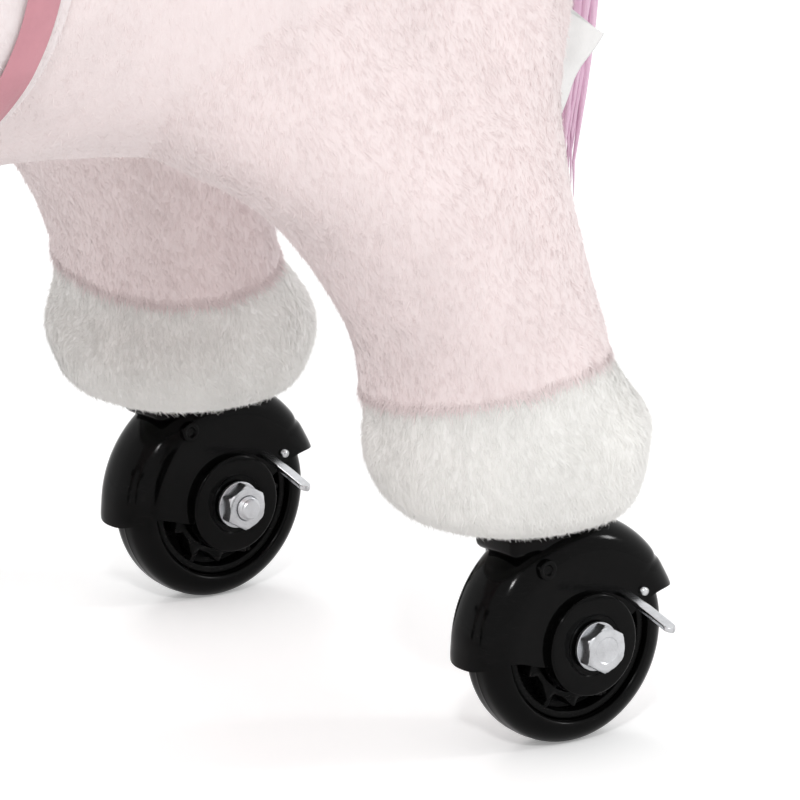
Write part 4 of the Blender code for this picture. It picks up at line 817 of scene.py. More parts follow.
@dataclass
class Wardrobe:
    """All the finishes, built once."""

    pink: bpy.types.Material
    ivory: bpy.types.Material
    ribbon: bpy.types.Material
    label: bpy.types.Material
    saddle: bpy.types.Material
    flap: bpy.types.Material
    fender: bpy.types.Material
    hub: bpy.types.Material
    tyre: bpy.types.Material
    zinc: bpy.types.Material
    steel: bpy.types.Material
    paint: bpy.types.Material
    grip: bpy.types.Material
    eye: bpy.types.Material
    hair: bpy.types.Material
    board: bpy.types.Material
    foam: bpy.types.Material

    @classmethod
    def stock(cls) -> "Wardrobe":
        """Return the wardrobe with every finish built."""
        return cls(
            pink=Plush("pink_plush", (0.87, 0.765, 0.760), (0.78, 0.65, 0.645)).build(),
            ivory=Plush("ivory_plush", (0.90, 0.89, 0.865), (0.82, 0.81, 0.78)).build(),
            ribbon=Satin("rose_ribbon", (0.60, 0.265, 0.31)).build(),
            label=Satin("label_satin", (0.90, 0.90, 0.89), 0.42, 1400.0).build(),
            saddle=Plush("saddle_plush", (0.62, 0.30, 0.36), (0.48, 0.20, 0.26)).build(),
            flap=Plush("flap_plush", (0.88, 0.80, 0.80), (0.77, 0.67, 0.67)).build(),
            fender=Plastic("fender_black", (0.0012, 0.0012, 0.0012), 0.10, 0.0).build(),
            hub=Plastic("hub_black", (0.0016, 0.0016, 0.0016), 0.26, 0.0).build(),
            tyre=Rubber("tyre_black", (0.0014, 0.0014, 0.0014), 0.20).build(),
            zinc=Metal("zinc", (0.66, 0.67, 0.69), 0.30).build(),
            steel=Metal("polished_steel", (0.72, 0.73, 0.75), 0.16).build(),
            paint=Plastic("frame_paint", (0.09, 0.09, 0.10), 0.40, 0.2).build(),
            grip=Rubber("grip_rubber", (0.02, 0.02, 0.021), 0.6).build(),
            eye=Plastic("eye_brown", (0.035, 0.016, 0.010), 0.05, 1.0).build(),
            hair=Hair("hair_pink", (0.88, 0.60, 0.76), (0.76, 0.46, 0.64)).build(),
            board=Timber().build(),
            foam=Rubber("foam", (0.80, 0.80, 0.76), 0.9).build(),
        )


# The plush forms, in the model's coordinates before the shift along X


def steepness(level: Callable[[Array], Array], p: Array, step: float = 0.002) -> Array:
    """Return how steeply a level rises at points, from its differences along the three axes.

    Args:
        level: gives the level at points.
        p: the points.
        step: half the span of each difference.

    Returns:
        The length of the level's slope, and never less than 0.35.
    """
    rise = [level(p + way * step) - level(p - way * step) for way in np.eye(3)]
    return np.maximum(np.linalg.norm(np.stack(rise, axis=-1) / (2 * step), axis=-1), 0.35)


@dataclass(frozen=True)
class Torso:
    """Sizes of the body's shape: squarish ovals whose four edges swell and taper from chest to rump."""

    front: float = -0.318
    length: float = 0.606
    top: float = 0.578
    half_width: float = 0.150
    power: float = 2.5
    shares: tuple[tuple[float, float, float, float], ...] = (
        (0, .745, .640, .20), (.012, .815, .565, .43), (.045, .885, .480, .62), (.100, .950, .450, .75),
        (.180, .990, .429, .81), (.270, 1.0, .425, .88), (.380, .995, .422, .95), (.500, .985, .420, .99),
        (.620, .982, .420, 1.0), (.740, .982, .423, 1.0), (.840, .970, .427, .96), (.915, .935, .432, .86),
        (.962, .880, .435, .71), (.988, .815, .455, .54), (1.0, .745, .480, .34))

    def edges(self, x: Array) -> tuple[Array, Array, Array]:
        """Return the top, the underside and the half width at places along X.

        Args:
            x: places along X.

        Returns:
            The three values at each place.
        """
        rows = np.array(self.shares)
        along = (x - self.front) / self.length
        read = [hermite(along, rows[:, 0], rows[:, c]) for c in (1, 2, 3)]
        return read[0] * self.top, read[1] * self.top, read[2] * self.half_width

    def points(self, x: Array, angle: Array) -> Array:
        """Return surface points: the superellipse between the edges at x, at an angle from its left side.

        Args:
            x: places along X.
            angle: angles round the section.

        Returns:
            The surface points.
        """
        top, under, half = self.edges(x)
        c, s = np.cos(angle), np.sin(angle)
        y = half * blunt(c, self.power)
        z = (top + under) / 2 + (top - under) / 2 * blunt(s, self.power)
        return np.stack(np.broadcast_arrays(x, y, z), axis=-1)

    def distance(self, p: Array) -> Array:
        """Return about how far points are outside the body, from its level and the level's slope.

        Args:
            p: the points.

        Returns:
            The distance, below zero inside.
        """

        def level(q: Array) -> Array:
            """Return the section's level at points, in metres: zero on the skin and below zero inside."""
            x = np.clip(q[..., 0], self.front + 0.001, self.front + self.length - 0.001)
            top, under, half = self.edges(x)
            high = np.maximum((top - under) / 2, 1e-3)
            g = (np.abs(q[..., 1] / half) ** self.power
                 + np.abs((q[..., 2] - (top + under) / 2) / high) ** self.power) ** (1 / self.power)
            return (g - 1) * np.minimum(half, high)

        ends = np.maximum(self.front - p[..., 0], p[..., 0] - self.front - self.length)
        return np.maximum(level(p) / steepness(level, p), ends)


@dataclass(frozen=True)
class Leg:
    """Sizes of one leg's shape, as rings up its height that taper to the ankle.

    The rows of shares are multiples of the height, setback, half length, inset and half width.
    """

    end: End
    side: Side
    height: float = 0.350
    power: float = 2.2
    axle: float = 0.25
    trail: float = 0.020
    stance: float = 0.113
    setback: float = 0.100
    inset: float = 0.043
    half_length: float = 0.112
    half_width: float = 0.056
    slimming: float = 0.004
    seam_z: float = 0.1545
    seam_rise: float = 0.171
    seam_flare: float = 0.139
    lowest: float = 0.14
    highest: float = 0.325

    @property
    def hoof_x(self) -> float:
        """Return the hoof's place along X."""
        return self.end.sign * self.axle - self.trail

    @property
    def shares(self) -> Array:
        """Return the rows of height, setback, half length, inset and half width."""
        if self.end is End.REAR:
            rows = ((.380, .27, .405, 0, .955), (.470, .335, .405, 0, .950), (.560, .465, .455, .04, .955),
                    (.640, .61, .560, .14, .965), (.720, .76, .715, .34, .980), (.820, .87, .870, .62, 1.0),
                    (.930, .91, .925, .90, 1.0))
        else:
            rows = ((.380, .12, .455, 0, .955), (.470, .06, .450, .04, .950),
                    (.560, -.03, .455, .16, .920), (.640, -.10, .465, .38, .880),
                    (.720, -.18, .480, .62, .850), (.820, -.28, .480, .86, .800),
                    (.930, -.38, .480, 1.02, .760))
        return np.array(rows)

    def ring(self, z: Array) -> tuple[Array, Array, Array, Array]:
        """Return the middle in X and Y and the half length and half width at heights.

        Args:
            z: heights.

        Returns:
            The four values at each height.
        """
        rows = self.shares
        share = z / self.height
        back, long_, inward, wide = (hermite(share, rows[:, 0], rows[:, c]) for c in (1, 2, 3, 4))
        x = self.hoof_x - back * self.setback + self.trail
        y = self.side.sign * (self.stance - inward * self.inset)
        slim = self.slimming if self.end is End.REAR and self.side is Side.RIGHT else 0.0
        return x + slim, y, long_ * self.half_length - slim * 0.8, wide * self.half_width

    def seam(self, p: Array) -> Array:
        """Return the height of the hoof seam at points: it rises to the rear and a little outward.

        Args:
            p: the points.

        Returns:
            The heights.
        """
        outward = p[..., 1] * self.side.sign - self.stance
        return self.seam_z + self.seam_rise * (p[..., 0] - self.hoof_x) + self.seam_flare * outward

    def points(self, z: Array, angle: Array) -> Array:
        """Return surface points at heights and angles.

        Args:
            z: heights.
            angle: angles round the section.

        Returns:
            The surface points.
        """
        x, y, a, b = self.ring(z)
        c, s = np.cos(angle), np.sin(angle)
        px = x + a * blunt(c, self.power)
        py = y + b * blunt(s, self.power)
        return np.stack(np.broadcast_arrays(px, py, z), axis=-1)

    def distance(self, p: Array) -> Array:
        """Return about how far points are outside the leg.

        Args:
            p: the points.

        Returns:
            The distance, below zero inside.
        """
        z = np.clip(p[..., 2], self.lowest, self.highest)

        def level(q: Array) -> Array:
            """Return the section's level at points, in metres: zero on the skin and below zero inside."""
            x, y, a, b = self.ring(np.clip(q[..., 2], self.lowest, self.highest))
            g = (np.abs((q[..., 0] - x) / a) ** self.power
                 + np.abs((q[..., 1] - y) / b) ** self.power) ** (1 / self.power)
            return (g - 1) * np.minimum(a, b)

        here = level(p)
        below = np.maximum(z - p[..., 2], 0.0)
        return np.hypot(np.maximum(here, 0) / steepness(level, p), below) + np.minimum(here, 0)


BARREL = Torso()
LEGS = {(end, side): Leg(end, side) for end in End for side in Side}
FILLET = 0.046


def soften(points: Array, normals: Array, others: Iterable[Callable[[Array], Array]],
           width: float = FILLET) -> Array:
    """Swell a surface where another form comes near, so that the two meet in a fillet.

    Nearer than the fillet's width the surface moves out along its normal by a quarter of the width times the
    square of the share that is left, which is how a smooth union of the two bulges.

    Args:
        points: the points.
        normals: their outward directions.
        others: the forms nearby, each as its distance.
        width: the fillet's width.

    Returns:
        The moved points.
    """
    for other in others:
        near = np.clip(1 - other(points) / width, 0.0, 1.0)
        points = points + normals * (width / 4 * near**2)[..., None]
    return points


def plush(points: Array, normals: Array, depth: float = 0.0016) -> Array:
    """Lay the stuffing's soft unevenness and the pile's tufts on a surface, along its normals.

    Args:
        points: the points.
        normals: their outward directions.
        depth: how uneven it is, in metres.

    Returns:
        The moved points.
    """
    swell = lattice_noise(points, 0.075, 3) * 0.9 + lattice_noise(points, 0.032, 5) * 0.45
    tuft = lattice_noise(points * np.array([1, 1, 0.45]), 0.0052, 9)
    return points + normals * (swell * depth + tuft * 0.00035)[..., None]


def shifted(points: Array) -> Array:
    """Return model points in the frame's coordinates.

    Args:
        points: the points.

    Returns:
        The points moved along X.
    """
    return points + np.array([SHIFT, 0.0, 0.0])


@dataclass
class Covers:
    """The plush skins of the body, shoulder, legs and hooves; the body, shoulder and legs follow each other's
    fillets.
    """

    finish: Wardrobe
    pivot: tuple[float, float] = (-0.190, 0.400)
    turning: float = 0.139
    lap: float = 0.0003
    hoof_half: tuple[float, float] = (0.0535, 0.0530)
    hoof_foot: float = 0.0925
    hoof_top: float = 0.170
    hoof_meet: float = 0.036

    def boundary(self, angle: Array) -> Array:
        """Return where each line along the body meets the turning capsule about the front pivot.

        The capsule is a ball about the pivot above it and an upright cylinder below it. The place along X is
        found by halving, for every angle at once.

        Args:
            angle: angles round the section.

        Returns:
            The places along X.
        """
        low = np.full(angle.shape, BARREL.front + 0.0005)
        high = np.full(angle.shape, self.pivot[0] + self.turning + 0.02)
        for _ in range(40):
            mid = (low + high) / 2
            p = self.body_surface(mid, angle)
            inside = self.capsule(p) < 0
            low = np.where(inside, mid, low)
            high = np.where(inside, high, mid)
        return (low + high) / 2

    def capsule(self, p: Array) -> Array:
        """Return the distance outside the turning capsule.

        Args:
            p: the points.

        Returns:
            The distance, below zero inside.
        """
        rise = np.maximum(p[..., 2] - self.pivot[1], 0.0)
        return np.sqrt((p[..., 0] - self.pivot[0]) ** 2 + p[..., 1] ** 2 + rise**2) - self.turning

    def body_surface(self, x: Array, angle: Array, piled: bool = True) -> Array:
        """Return the body's plush surface, with the fillets to all four legs, and its pile where asked.

        Args:
            x: places along X.
            angle: angles round the section.
            piled: whether the pile is laid on.

        Returns:
            The surface points.
        """
        p = BARREL.points(x, angle)
        e = 0.0015
        rear, front = BARREL.front + BARREL.length - 0.0001, BARREL.front + 0.0001
        dx = (BARREL.points(np.clip(x + e, None, rear), angle)
              - BARREL.points(np.clip(x - e, front, None), angle))
        da = BARREL.points(x, angle + 0.01) - BARREL.points(x, angle - 0.01)
        n = unit(np.cross(dx, da))
        outward = p - np.stack(np.broadcast_arrays(x, 0.0, 0.43), axis=-1)
        n = np.where((n * outward).sum(-1, keepdims=True) < 0, -n, n)
        p = soften(p, n, [leg.distance for leg in LEGS.values()])
        return plush(p, n) if piled else p

    def hem(self, edge: Array, depth: float, rows: int) -> Array:
        """Carry an edge inward along the turning capsule towards the body's middle line.

        On the cylinder each point's angle round the pivot closes by a share of the way. On the ball the point
        moves the same share along the great circle that leads to the ball's rearmost point.

        Args:
            edge: the edge, as points.
            depth: the share of the way that it's carried.
            rows: how many rings.

        Returns:
            The rings, from the edge inward.
        """
        out = []
        centre = np.array([self.pivot[0], 0.0, self.pivot[1]])
        from_centre = unit(edge - centre)
        turn = np.arccos(np.clip(from_centre[:, :1], -1.0, 1.0))
        for t in np.linspace(0, depth, rows + 1)[1:]:
            angle = np.arctan2(edge[:, 1], edge[:, 0] - self.pivot[0]) * (1 - t)
            z = edge[:, 2] + (self.pivot[1] - edge[:, 2]) * t
            low = np.stack([self.turning * np.cos(angle), self.turning * np.sin(angle), z - self.pivot[1]],
                           axis=-1)
            arc = np.sin((1 - t) * turn) * from_centre + np.sin(t * turn) * np.array([1.0, 0.0, 0.0])
            high = arc / np.maximum(np.sin(turn), 1e-6) * self.turning
            out.append(centre + np.where(edge[:, 2:] > self.pivot[1], high, low))
        return np.array(out)

    def build_body(self) -> bpy.types.Object:
        """Sew the long body skin from the turning line to the rump, as one piece."""
        cols = 250
        angle = np.linspace(0, 2 * math.pi, cols, endpoint=False)
        edge_x = self.boundary(angle)
        bend = 0.86
        share = np.concatenate([np.linspace(0, bend, 160), 1 - (1 - bend) * np.linspace(1, 0, 80)[1:] ** 1.8])
        end = BARREL.front + BARREL.length
        rows = np.array([self.body_surface(edge_x + (end - edge_x) * s, angle) for s in share])
        edge = rows[0]
        inner = self.hem(edge, 0.10, 6)[::-1]
        grid = np.concatenate([inner, rows])
        grid = self.clear_of_capsule(grid, True)
        sheaf = Sheaf().add(shifted(grid), caps=True).pile(shifted(rows[4:-3]), 70000, seed=2)
        obj = sheaf.build("body_cover", self.finish.pink)
        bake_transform(obj)
        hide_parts("torso_plush", "rump_plush")
        return obj

    def clear_of_capsule(self, grid: Array, outside: bool) -> Array:
        """Push points off the turning capsule by the lap, outward or inward, so that the skins slide.

        Args:
            grid: the rings, as rows, columns and three coordinates.
            outside: whether the grid lies outside the form.

        Returns:
            The moved grid.
        """
        over = self.capsule(grid)
        middle = np.array([self.pivot[0], 0, 0]) + np.stack(
            [np.zeros_like(over), np.zeros_like(over), np.minimum(grid[..., 2], self.pivot[1])], axis=-1)
        direction = unit(grid - middle)
        wanted = self.lap if outside else -self.lap
        move = np.where(outside, np.maximum(wanted - over, 0), np.minimum(wanted - over, 0))
        return grid + direction * move[..., None]

    def build_shoulder(self) -> bpy.types.Object:
        """Sew the shoulder skin in front of the turning line."""
        cols = 300
        angle = np.linspace(0, 2 * math.pi, cols, endpoint=False)
        edge_x = self.boundary(angle)
        share = 1 - np.linspace(0, 1, 110) ** 1.5
        front = BARREL.front
        rows = np.array([self.body_surface(front + (edge_x - front) * (1 - s), angle) for s in share])
        inner = self.hem(rows[-1], 0.30, 14)
        grid = self.clear_of_capsule(np.concatenate([rows, inner]), False)
        sheaf = Sheaf().add(shifted(grid)).pile(shifted(rows[12:-14]), 28000, seed=3)
        obj = sheaf.build("shoulder_cover", self.finish.pink)
        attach(obj, Body.FRONT.value)
        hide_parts("shoulder_plush")
        return obj

    def leg_surface(self, leg: Leg, z: Array, angle: Array) -> Array:
        """Return a leg's plush surface, with the fillet to the body.

        Args:
            leg: the leg.
            z: heights.
            angle: angles round the section.

        Returns:
            The surface points.
        """
        p = leg.points(z, angle)
        e = 0.0015
        dz = leg.points(z + e, angle) - leg.points(z - e, angle)
        da = leg.points(z, angle + 0.01) - leg.points(z, angle - 0.01)
        n = unit(np.cross(da, dz))
        p = soften(p, n, [BARREL.distance])
        return plush(p, n)

    def build_leg(self, end: End, side: Side) -> bpy.types.Object:
        """Sew one leg: plush from inside the body to the hoof seam, which rises to the rear.

        Each ring is level high up and slants to the seam's own plane at the foot, where the skin turns in.

        Args:
            end: which end.
            side: which side.

        Returns:
            The skin.
        """
        leg = LEGS[end, side]
        cols = 220
        angle = np.linspace(0, 2 * math.pi, cols, endpoint=False)
        top = 0.315 if end is End.REAR else 0.318
        foot_z = np.full(cols, 0.160)
        for _ in range(12):
            foot_z = leg.seam(leg.points(foot_z, angle)) - 0.0010
        rows = []
        for t in np.linspace(0, 1, 140):
            z = foot_z * (1 - t) + top * t
            near = np.exp(-((z - foot_z) / 0.0035) ** 2)
            proud = self.inward(leg, z, angle) * (near * 0.0003)[:, None]
            rows.append(self.leg_surface(leg, z, angle) - proud)
        rows = np.array(rows)
        middle = rows[0].mean(axis=0)
        tuck = np.array([rows[0] + (middle - rows[0]) * s for s in (0.5, 0.25, 0.1)])
        grid = np.concatenate([tuck, rows])
        blades = 60000 if end is End.REAR else 26000
        sheaf = Sheaf().add(shifted(grid)).pile(shifted(rows), blades, seed=4)
        sheaf.pile(shifted(rows[:4]), 3000, length=0.0048, seed=9)
        obj = sheaf.build(f"{end.value}_leg_cover_{side.value}", self.finish.pink)
        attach(obj, end.body.value)
        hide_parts(f"{end.value}_leg_plush_{side.value}")
        return obj

    @staticmethod
    def inward(leg: Leg, z: Array, angle: Array) -> Array:
        """Return unit steps from the leg's surface towards its middle line.

        Args:
            leg: the leg.
            z: heights.
            angle: angles round the section.

        Returns:
            The unit steps.
        """
        x, y, _, _ = leg.ring(z)
        p = leg.points(z, angle)
        return unit(np.stack(np.broadcast_arrays(x, y, z), axis=-1) - p)

    def build_hoof(self, end: End, side: Side) -> bpy.types.Object:
        """Sew one ivory hoof: a swelling boot under the slanted seam, open beneath for the wheel's fork.

        Args:
            end: which end.
            side: which side.

        Returns:
            The skin.
        """
        leg = LEGS[end, side]
        cols = 220
        angle = np.linspace(0, 2 * math.pi, cols, endpoint=False)
        shares = np.array([(0, .64), (.04, .78), (.10, .88), (.22, .975), (.42, 1.03), (.70, 1.0), (1, .93)])
        low, high = self.hoof_foot, self.hoof_top
        lean = 0.13 if end is End.REAR else -0.06
        c, s = np.cos(angle), np.sin(angle)

        def ring(z: Array) -> Array:
            """Return the boot's own ring at heights, before it meets the leg."""
            wide = hermite((z - low) / (high - low), shares[:, 0], shares[:, 1])
            x = leg.hoof_x - (z - 0.15) * leg.setback / leg.height * lean
            px = x + self.hoof_half[0] * wide * blunt(c, leg.power)
            py = side.sign * leg.stance + self.hoof_half[1] * wide * blunt(s, leg.power)
            return np.stack(np.broadcast_arrays(px, py, z), axis=-1)

        top_z = np.full(cols, 0.155)
        for _ in range(12):
            top_z = leg.seam(leg.points(top_z, angle)) - 0.0004
        rows = []
        for t in np.linspace(0, 1, 84):
            z = low * (1 - t) + top_z * t
            p = ring(z)
            middle = np.array([leg.hoof_x, side.sign * leg.stance, 0])
            flat = unit((p - middle) * np.array([1, 1, 0]))
            meet = smoothstep(0.0, 1.0, 1 - (top_z - z) / self.hoof_meet)[:, None]
            p = p * (1 - meet) + leg.points(z, angle) * meet
            near = np.exp(-((z - top_z) / 0.0035) ** 2)
            open_top, open_foot = np.clip((top_z - z) / 0.012, 0, 1), np.clip((z - low) / 0.01, 0, 1)
            lump = lattice_noise(p, 0.030, 61) * open_top * open_foot
            p = plush(p, flat, 0.0014) + flat * (lump * 0.0024 - near * 0.0004)[:, None]
            rows.append(p)
        rows = np.array(rows)
        middle = rows[-1].mean(axis=0)
        over = np.array([rows[-1] + (middle - rows[-1]) * s for s in (0.1, 0.25, 0.5)])
        under = np.array([rows[0] + (rows[0].mean(axis=0) - rows[0]) * s for s in (0.22, 0.14, 0.07, 0.03)])
        under[:, :, 2] = low + np.array([0.006, 0.001, -0.0008, -0.0004])[:, None]
        grid = np.concatenate([under, rows, over])
        blades = 45000 if end is End.REAR else 22000
        sheaf = Sheaf().add(shifted(grid)).pile(shifted(rows[:-2]), blades, seed=5)
        obj = sheaf.build(f"{end.value}_hoof_cover_{side.value}", self.finish.ivory)
        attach(obj, end.body.value)
        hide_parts(f"{end.value}_hoof_{side.value}")
        return obj

    def dress(self) -> None:
        """Build every skin of the body and legs."""
        self.build_body()
        self.build_shoulder()
        for end in End:
            for side in Side:
                self.build_leg(end, side)
                self.build_hoof(end, side)


def parted_locks(routes: Array, radius: Array, marks: Array, finish: bpy.types.Material, name: str
                 ) -> bpy.types.Object:
    """Lay many tapering locks of hair as one piece.

    A lock is a flattened ring carried along its route whose radius is the given root size times
    a rise at its root and a fall to a blunt point at its tip.

    Args:
        routes: an array of locks, points and coordinates.
        radius: the size of each lock.
        marks: the tone of each lock, 0 to 1.
        finish: the material.
        name: the object's name.

    Returns:
        The new object.
    """
    sheaf = Sheaf()
    count = routes.shape[1]
    share = np.linspace(0, 1, count)
    taper = np.clip(np.minimum(0.35 + share * 5, 1) * (1 - share**2.4) ** 0.8, 0.05, 1)
    for route, size, mark in zip(routes, radius, marks):
        grid = sweep(route, lambda s: circle(size * float(np.interp(s, share, taper)), 7, 0.72),
                     (0.3, 0.9, 0.1))
        sheaf.add(grid, mark=float(mark))
    return sheaf.build(name, finish)


@dataclass
class Neck:
    """The plush neck, head, ears, eyes, noseband and mane, on the steering body."""

    finish: Wardrobe
    cols: int = 200
    neck_x: float = -0.190
    neck_height: float = 0.240
    neck_reach: float = 0.085
    neck_radius: float = 0.086
    foot_z: float = 0.5786
    head_power: float = 2.1
    ear_length: float = 0.086
    eye_radius: float = 0.0128
    mane_locks: int = 300
    mane_knots: int = 20
    head_start: tuple[float, float, float] = (-0.270, 0.0, 0.812)
    head_length: float = 0.210
    head_radius: float = 0.066
    tilt: float = math.radians(35)
    neck_shares: tuple[tuple[float, float, float, float], ...] = (
        (0, 0, 1, 1), (.10, .06, 1.01, .96), (.30, .25, .95, .82), (.52, .50, .83, .71), (.74, .78, .74, .65),
        (.90, .94, .64, .58), (.975, .99, .45, .42), (1, 1, .20, .20))
    head_shares: tuple[tuple[float, float, float, float], ...] = (
        (0, .28, .28, 0), (.03, .56, .53, 0), (.12, .88, .82, -.02), (.28, 1, .93, -.06),
        (.46, .89, .84, -.06), (.63, .72, .69, -.03), (.78, .69, .67, -.02), (.90, .70, .69, -.03),
        (.97, .55, .54, -.03), (1, .26, .26, -.03))

    @property
    def along(self) -> Array:
        """Return the direction from the poll to the nose."""
        return np.array([-math.cos(self.tilt), 0, -math.sin(self.tilt)])

    @property
    def up(self) -> Array:
        """Return the direction out of the forehead."""
        return np.array([-math.sin(self.tilt), 0, math.cos(self.tilt)])

    def neck_points(self, share: Array, angle: Array) -> Array:
        """Return the neck's surface: ovals that lean forward and narrow as they rise.

        Args:
            share: places along the form, from 0 to 1.
            angle: angles round the section.

        Returns:
            The surface points.
        """
        rows = np.array(self.neck_shares)
        reach, long_, wide = (hermite(share, rows[:, 0], rows[:, c]) for c in (1, 2, 3))
        x = self.neck_x - reach * self.neck_reach + long_ * self.neck_radius * np.cos(angle)
        y, z = wide * self.neck_radius * np.sin(angle), self.foot_z + share * self.neck_height
        return np.stack(np.broadcast_arrays(x, y, z), axis=-1)

    def head_points(self, share: Array, angle: Array) -> Array:
        """Return the head's surface: squarish ovals along the line from poll to nose.

        Args:
            share: places along the form, from 0 to 1.
            angle: angles round the section.

        Returns:
            The surface points.
        """
        rows = np.array(self.head_shares)
        high, wide, lift = (hermite(share, rows[:, 0], rows[:, c]) for c in (1, 2, 3))
        c, s = np.cos(angle), np.sin(angle)
        across = wide * self.head_radius * blunt(c, self.head_power)
        over = high * self.head_radius * blunt(s, self.head_power) + lift * self.head_length
        middle = np.array(self.head_start) + share[..., None] * self.head_length * self.along
        return middle + across[..., None] * np.array([0, 1, 0]) + over[..., None] * self.up

    @staticmethod
    def thicken(grid: Array, depth: float = 0.0013) -> Array:
        """Return a grid of rings with the plush laid on it.

        Args:
            grid: the rings, as rows, columns and three coordinates.
            depth: how deep, in metres.

        Returns:
            The moved grid.
        """
        n = grid_normals(grid)
        centre = grid.mean(axis=1, keepdims=True)
        n = np.where(((grid - centre) * n).sum(-1, keepdims=True) < 0, -n, n)
        return plush(grid, n, depth)

    def build_skins(self) -> None:
        """Sew the neck and the head."""
        angle = np.linspace(0, 2 * math.pi, self.cols, endpoint=False)
        share = 1 - np.linspace(1, 0, 110) ** 1.25
        neck = self.thicken(np.array([self.neck_points(np.full(self.cols, s), angle) for s in share]))
        neck[:, :, 2] = np.maximum(neck[:, :, 2], self.foot_z)
        self.sew("neck", neck, 22000, 6)
        share = (1 - np.cos(np.linspace(0, math.pi, 120))) / 2
        head = self.thicken(np.array([self.head_points(np.full(self.cols, s), angle) for s in share]))
        self.sew("head", head, 20000, 7)

    def sew(self, name: str, grid: Array, blades: int, seed: int) -> None:
        """Close one skin, plant its pile and put it on the steering body.

        Args:
            name: what it is, as the frame's node starts.
            grid: its rings.
            blades: how many blades of pile it gets.
            seed: changes the planting.
        """
        sheaf = Sheaf().add(shifted(grid)).pile(shifted(grid[3:-3]), blades, seed=seed)
        obj = sheaf.build(f"{name}_cover", self.finish.pink)
        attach(obj, Body.STEERING.value)
        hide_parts(f"{name}_plush")

    def build_ears(self) -> None:
        """Sew two leaf-shaped ears, cupped towards the front, each thicker along its rim."""
        for side in Side:
            base = np.array([-0.300, side.sign * 0.036, 0.848 - 0.016])
            tip = base + np.array([-0.14, side.sign * 0.20, 1.0]) * self.ear_length
            rows = []
            angle = np.linspace(0, 2 * math.pi, 64, endpoint=False)
            for s in np.linspace(0, 1, 46):
                wide = 0.0205 * (math.sin(math.pi * min(0.28 + s * 0.72, 1.0)) ** 0.75 + 0.03)
                cup = 0.007 * math.sin(math.pi * min(s + 0.1, 1.0))
                across = wide * np.cos(angle)
                thick = 0.0052 * (1 - 0.75 * s) * np.sin(angle)
                hollow = cup * ((across / max(wide, 1e-5)) ** 2)
                x = base[0] + (tip[0] - base[0]) * s + thick - hollow
                y = base[1] + (tip[1] - base[1]) * s + across
                rows.append(np.stack([x, y, np.full(64, base[2] + (tip[2] - base[2]) * s)], axis=-1))
            obj = Sheaf().add(shifted(self.thicken(np.array(rows), 0.0004))).build(
                f"ear_cover_{side.value}", self.finish.pink)
            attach(obj, Body.STEERING.value)
            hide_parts(f"ear_{side.value}")

    def build_mane(self) -> None:
        """Comb the mane: locks from the crest that fall to alternate sides with a wave in them."""
        rng = np.random.default_rng(11)
        n, count = self.mane_locks, self.mane_knots
        start = rng.uniform(0.16, 1.02, n)
        side = rng.choice([-1, 1], n)
        crest_share = np.clip(start, 0, 0.97)
        angle = np.zeros(n)
        root = self.neck_points(crest_share, angle)
        above = np.clip(start - 0.97, 0, 1)
        root = root + np.stack([-above * 0.9, np.zeros(n), above * 0.55], axis=-1)
        t = np.linspace(0, 1, count)[None, :]
        length = rng.uniform(0.042, 0.062, n)[:, None]
        spread = (rng.uniform(0.15, 1.0, n) * side)[:, None]
        wave = np.sin(t * rng.uniform(5, 8, n)[:, None] + rng.uniform(0, 6, n)[:, None]) * 0.0018
        out = 0.012 * np.sin(np.minimum(t * 1.6, 1.0) * math.pi / 2) + 0.003
        x = root[:, :1] + out + wave
        y = root[:, 1:2] + spread * length * 0.42 * t**0.8 + wave
        z = root[:, 2:3] + 0.008 * np.sin(t * math.pi * 0.6) - length * t**1.6
        routes = np.stack([x, y, z], axis=-1)
        obj = parted_locks(shifted(routes), rng.uniform(0.0024, 0.0040, n), rng.uniform(0, 1, n),
                           self.finish.hair, "mane_locks")
        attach(obj, Body.STEERING.value)
        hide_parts("mane")

    def build_face(self) -> None:
        """Set the two glass eyes and the noseband."""
        for side in Side:
            centre = (np.array(self.head_start) + self.along * self.head_length * 0.36 + self.up * 0.021
                      + np.array([0, side.sign * 0.053, 0]))
            theta = np.linspace(0.01, math.pi - 0.01, 28)
            half_circle = [(self.eye_radius * math.sin(a), -self.eye_radius * math.cos(a)) for a in theta]
            grid = revolve(half_circle, centre, 48)
            obj = Sheaf().add(shifted(grid)).build(f"eye_bead_{side.value}", self.finish.eye)
            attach(obj, Body.STEERING.value)
            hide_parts(f"eye_{side.value}")
        angle = np.linspace(0, 2 * math.pi, self.cols, endpoint=False)
        rows = []
        for across, lift in ((-1.0, 0.0003), (-0.96, 0.0022), (-0.5, 0.0028), (0.5, 0.0028), (0.96, 0.0022),
                             (1.0, 0.0003)):
            s = 0.70 + across * 0.006 / self.head_length
            p = self.head_points(np.full(self.cols, s), angle)
            middle = p.mean(axis=0)
            rows.append(p + unit(p - middle) * (lift + 0.0016))
        obj = Sheaf().add(shifted(np.array(rows)), caps=False).build("noseband_ribbon", self.finish.ribbon)
        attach(obj, Body.STEERING.value)
        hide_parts("noseband")

    def dress(self) -> None:
        """Build everything above the body on the steering."""
        self.build_skins()
        self.build_ears()
        self.build_mane()
        self.build_face()


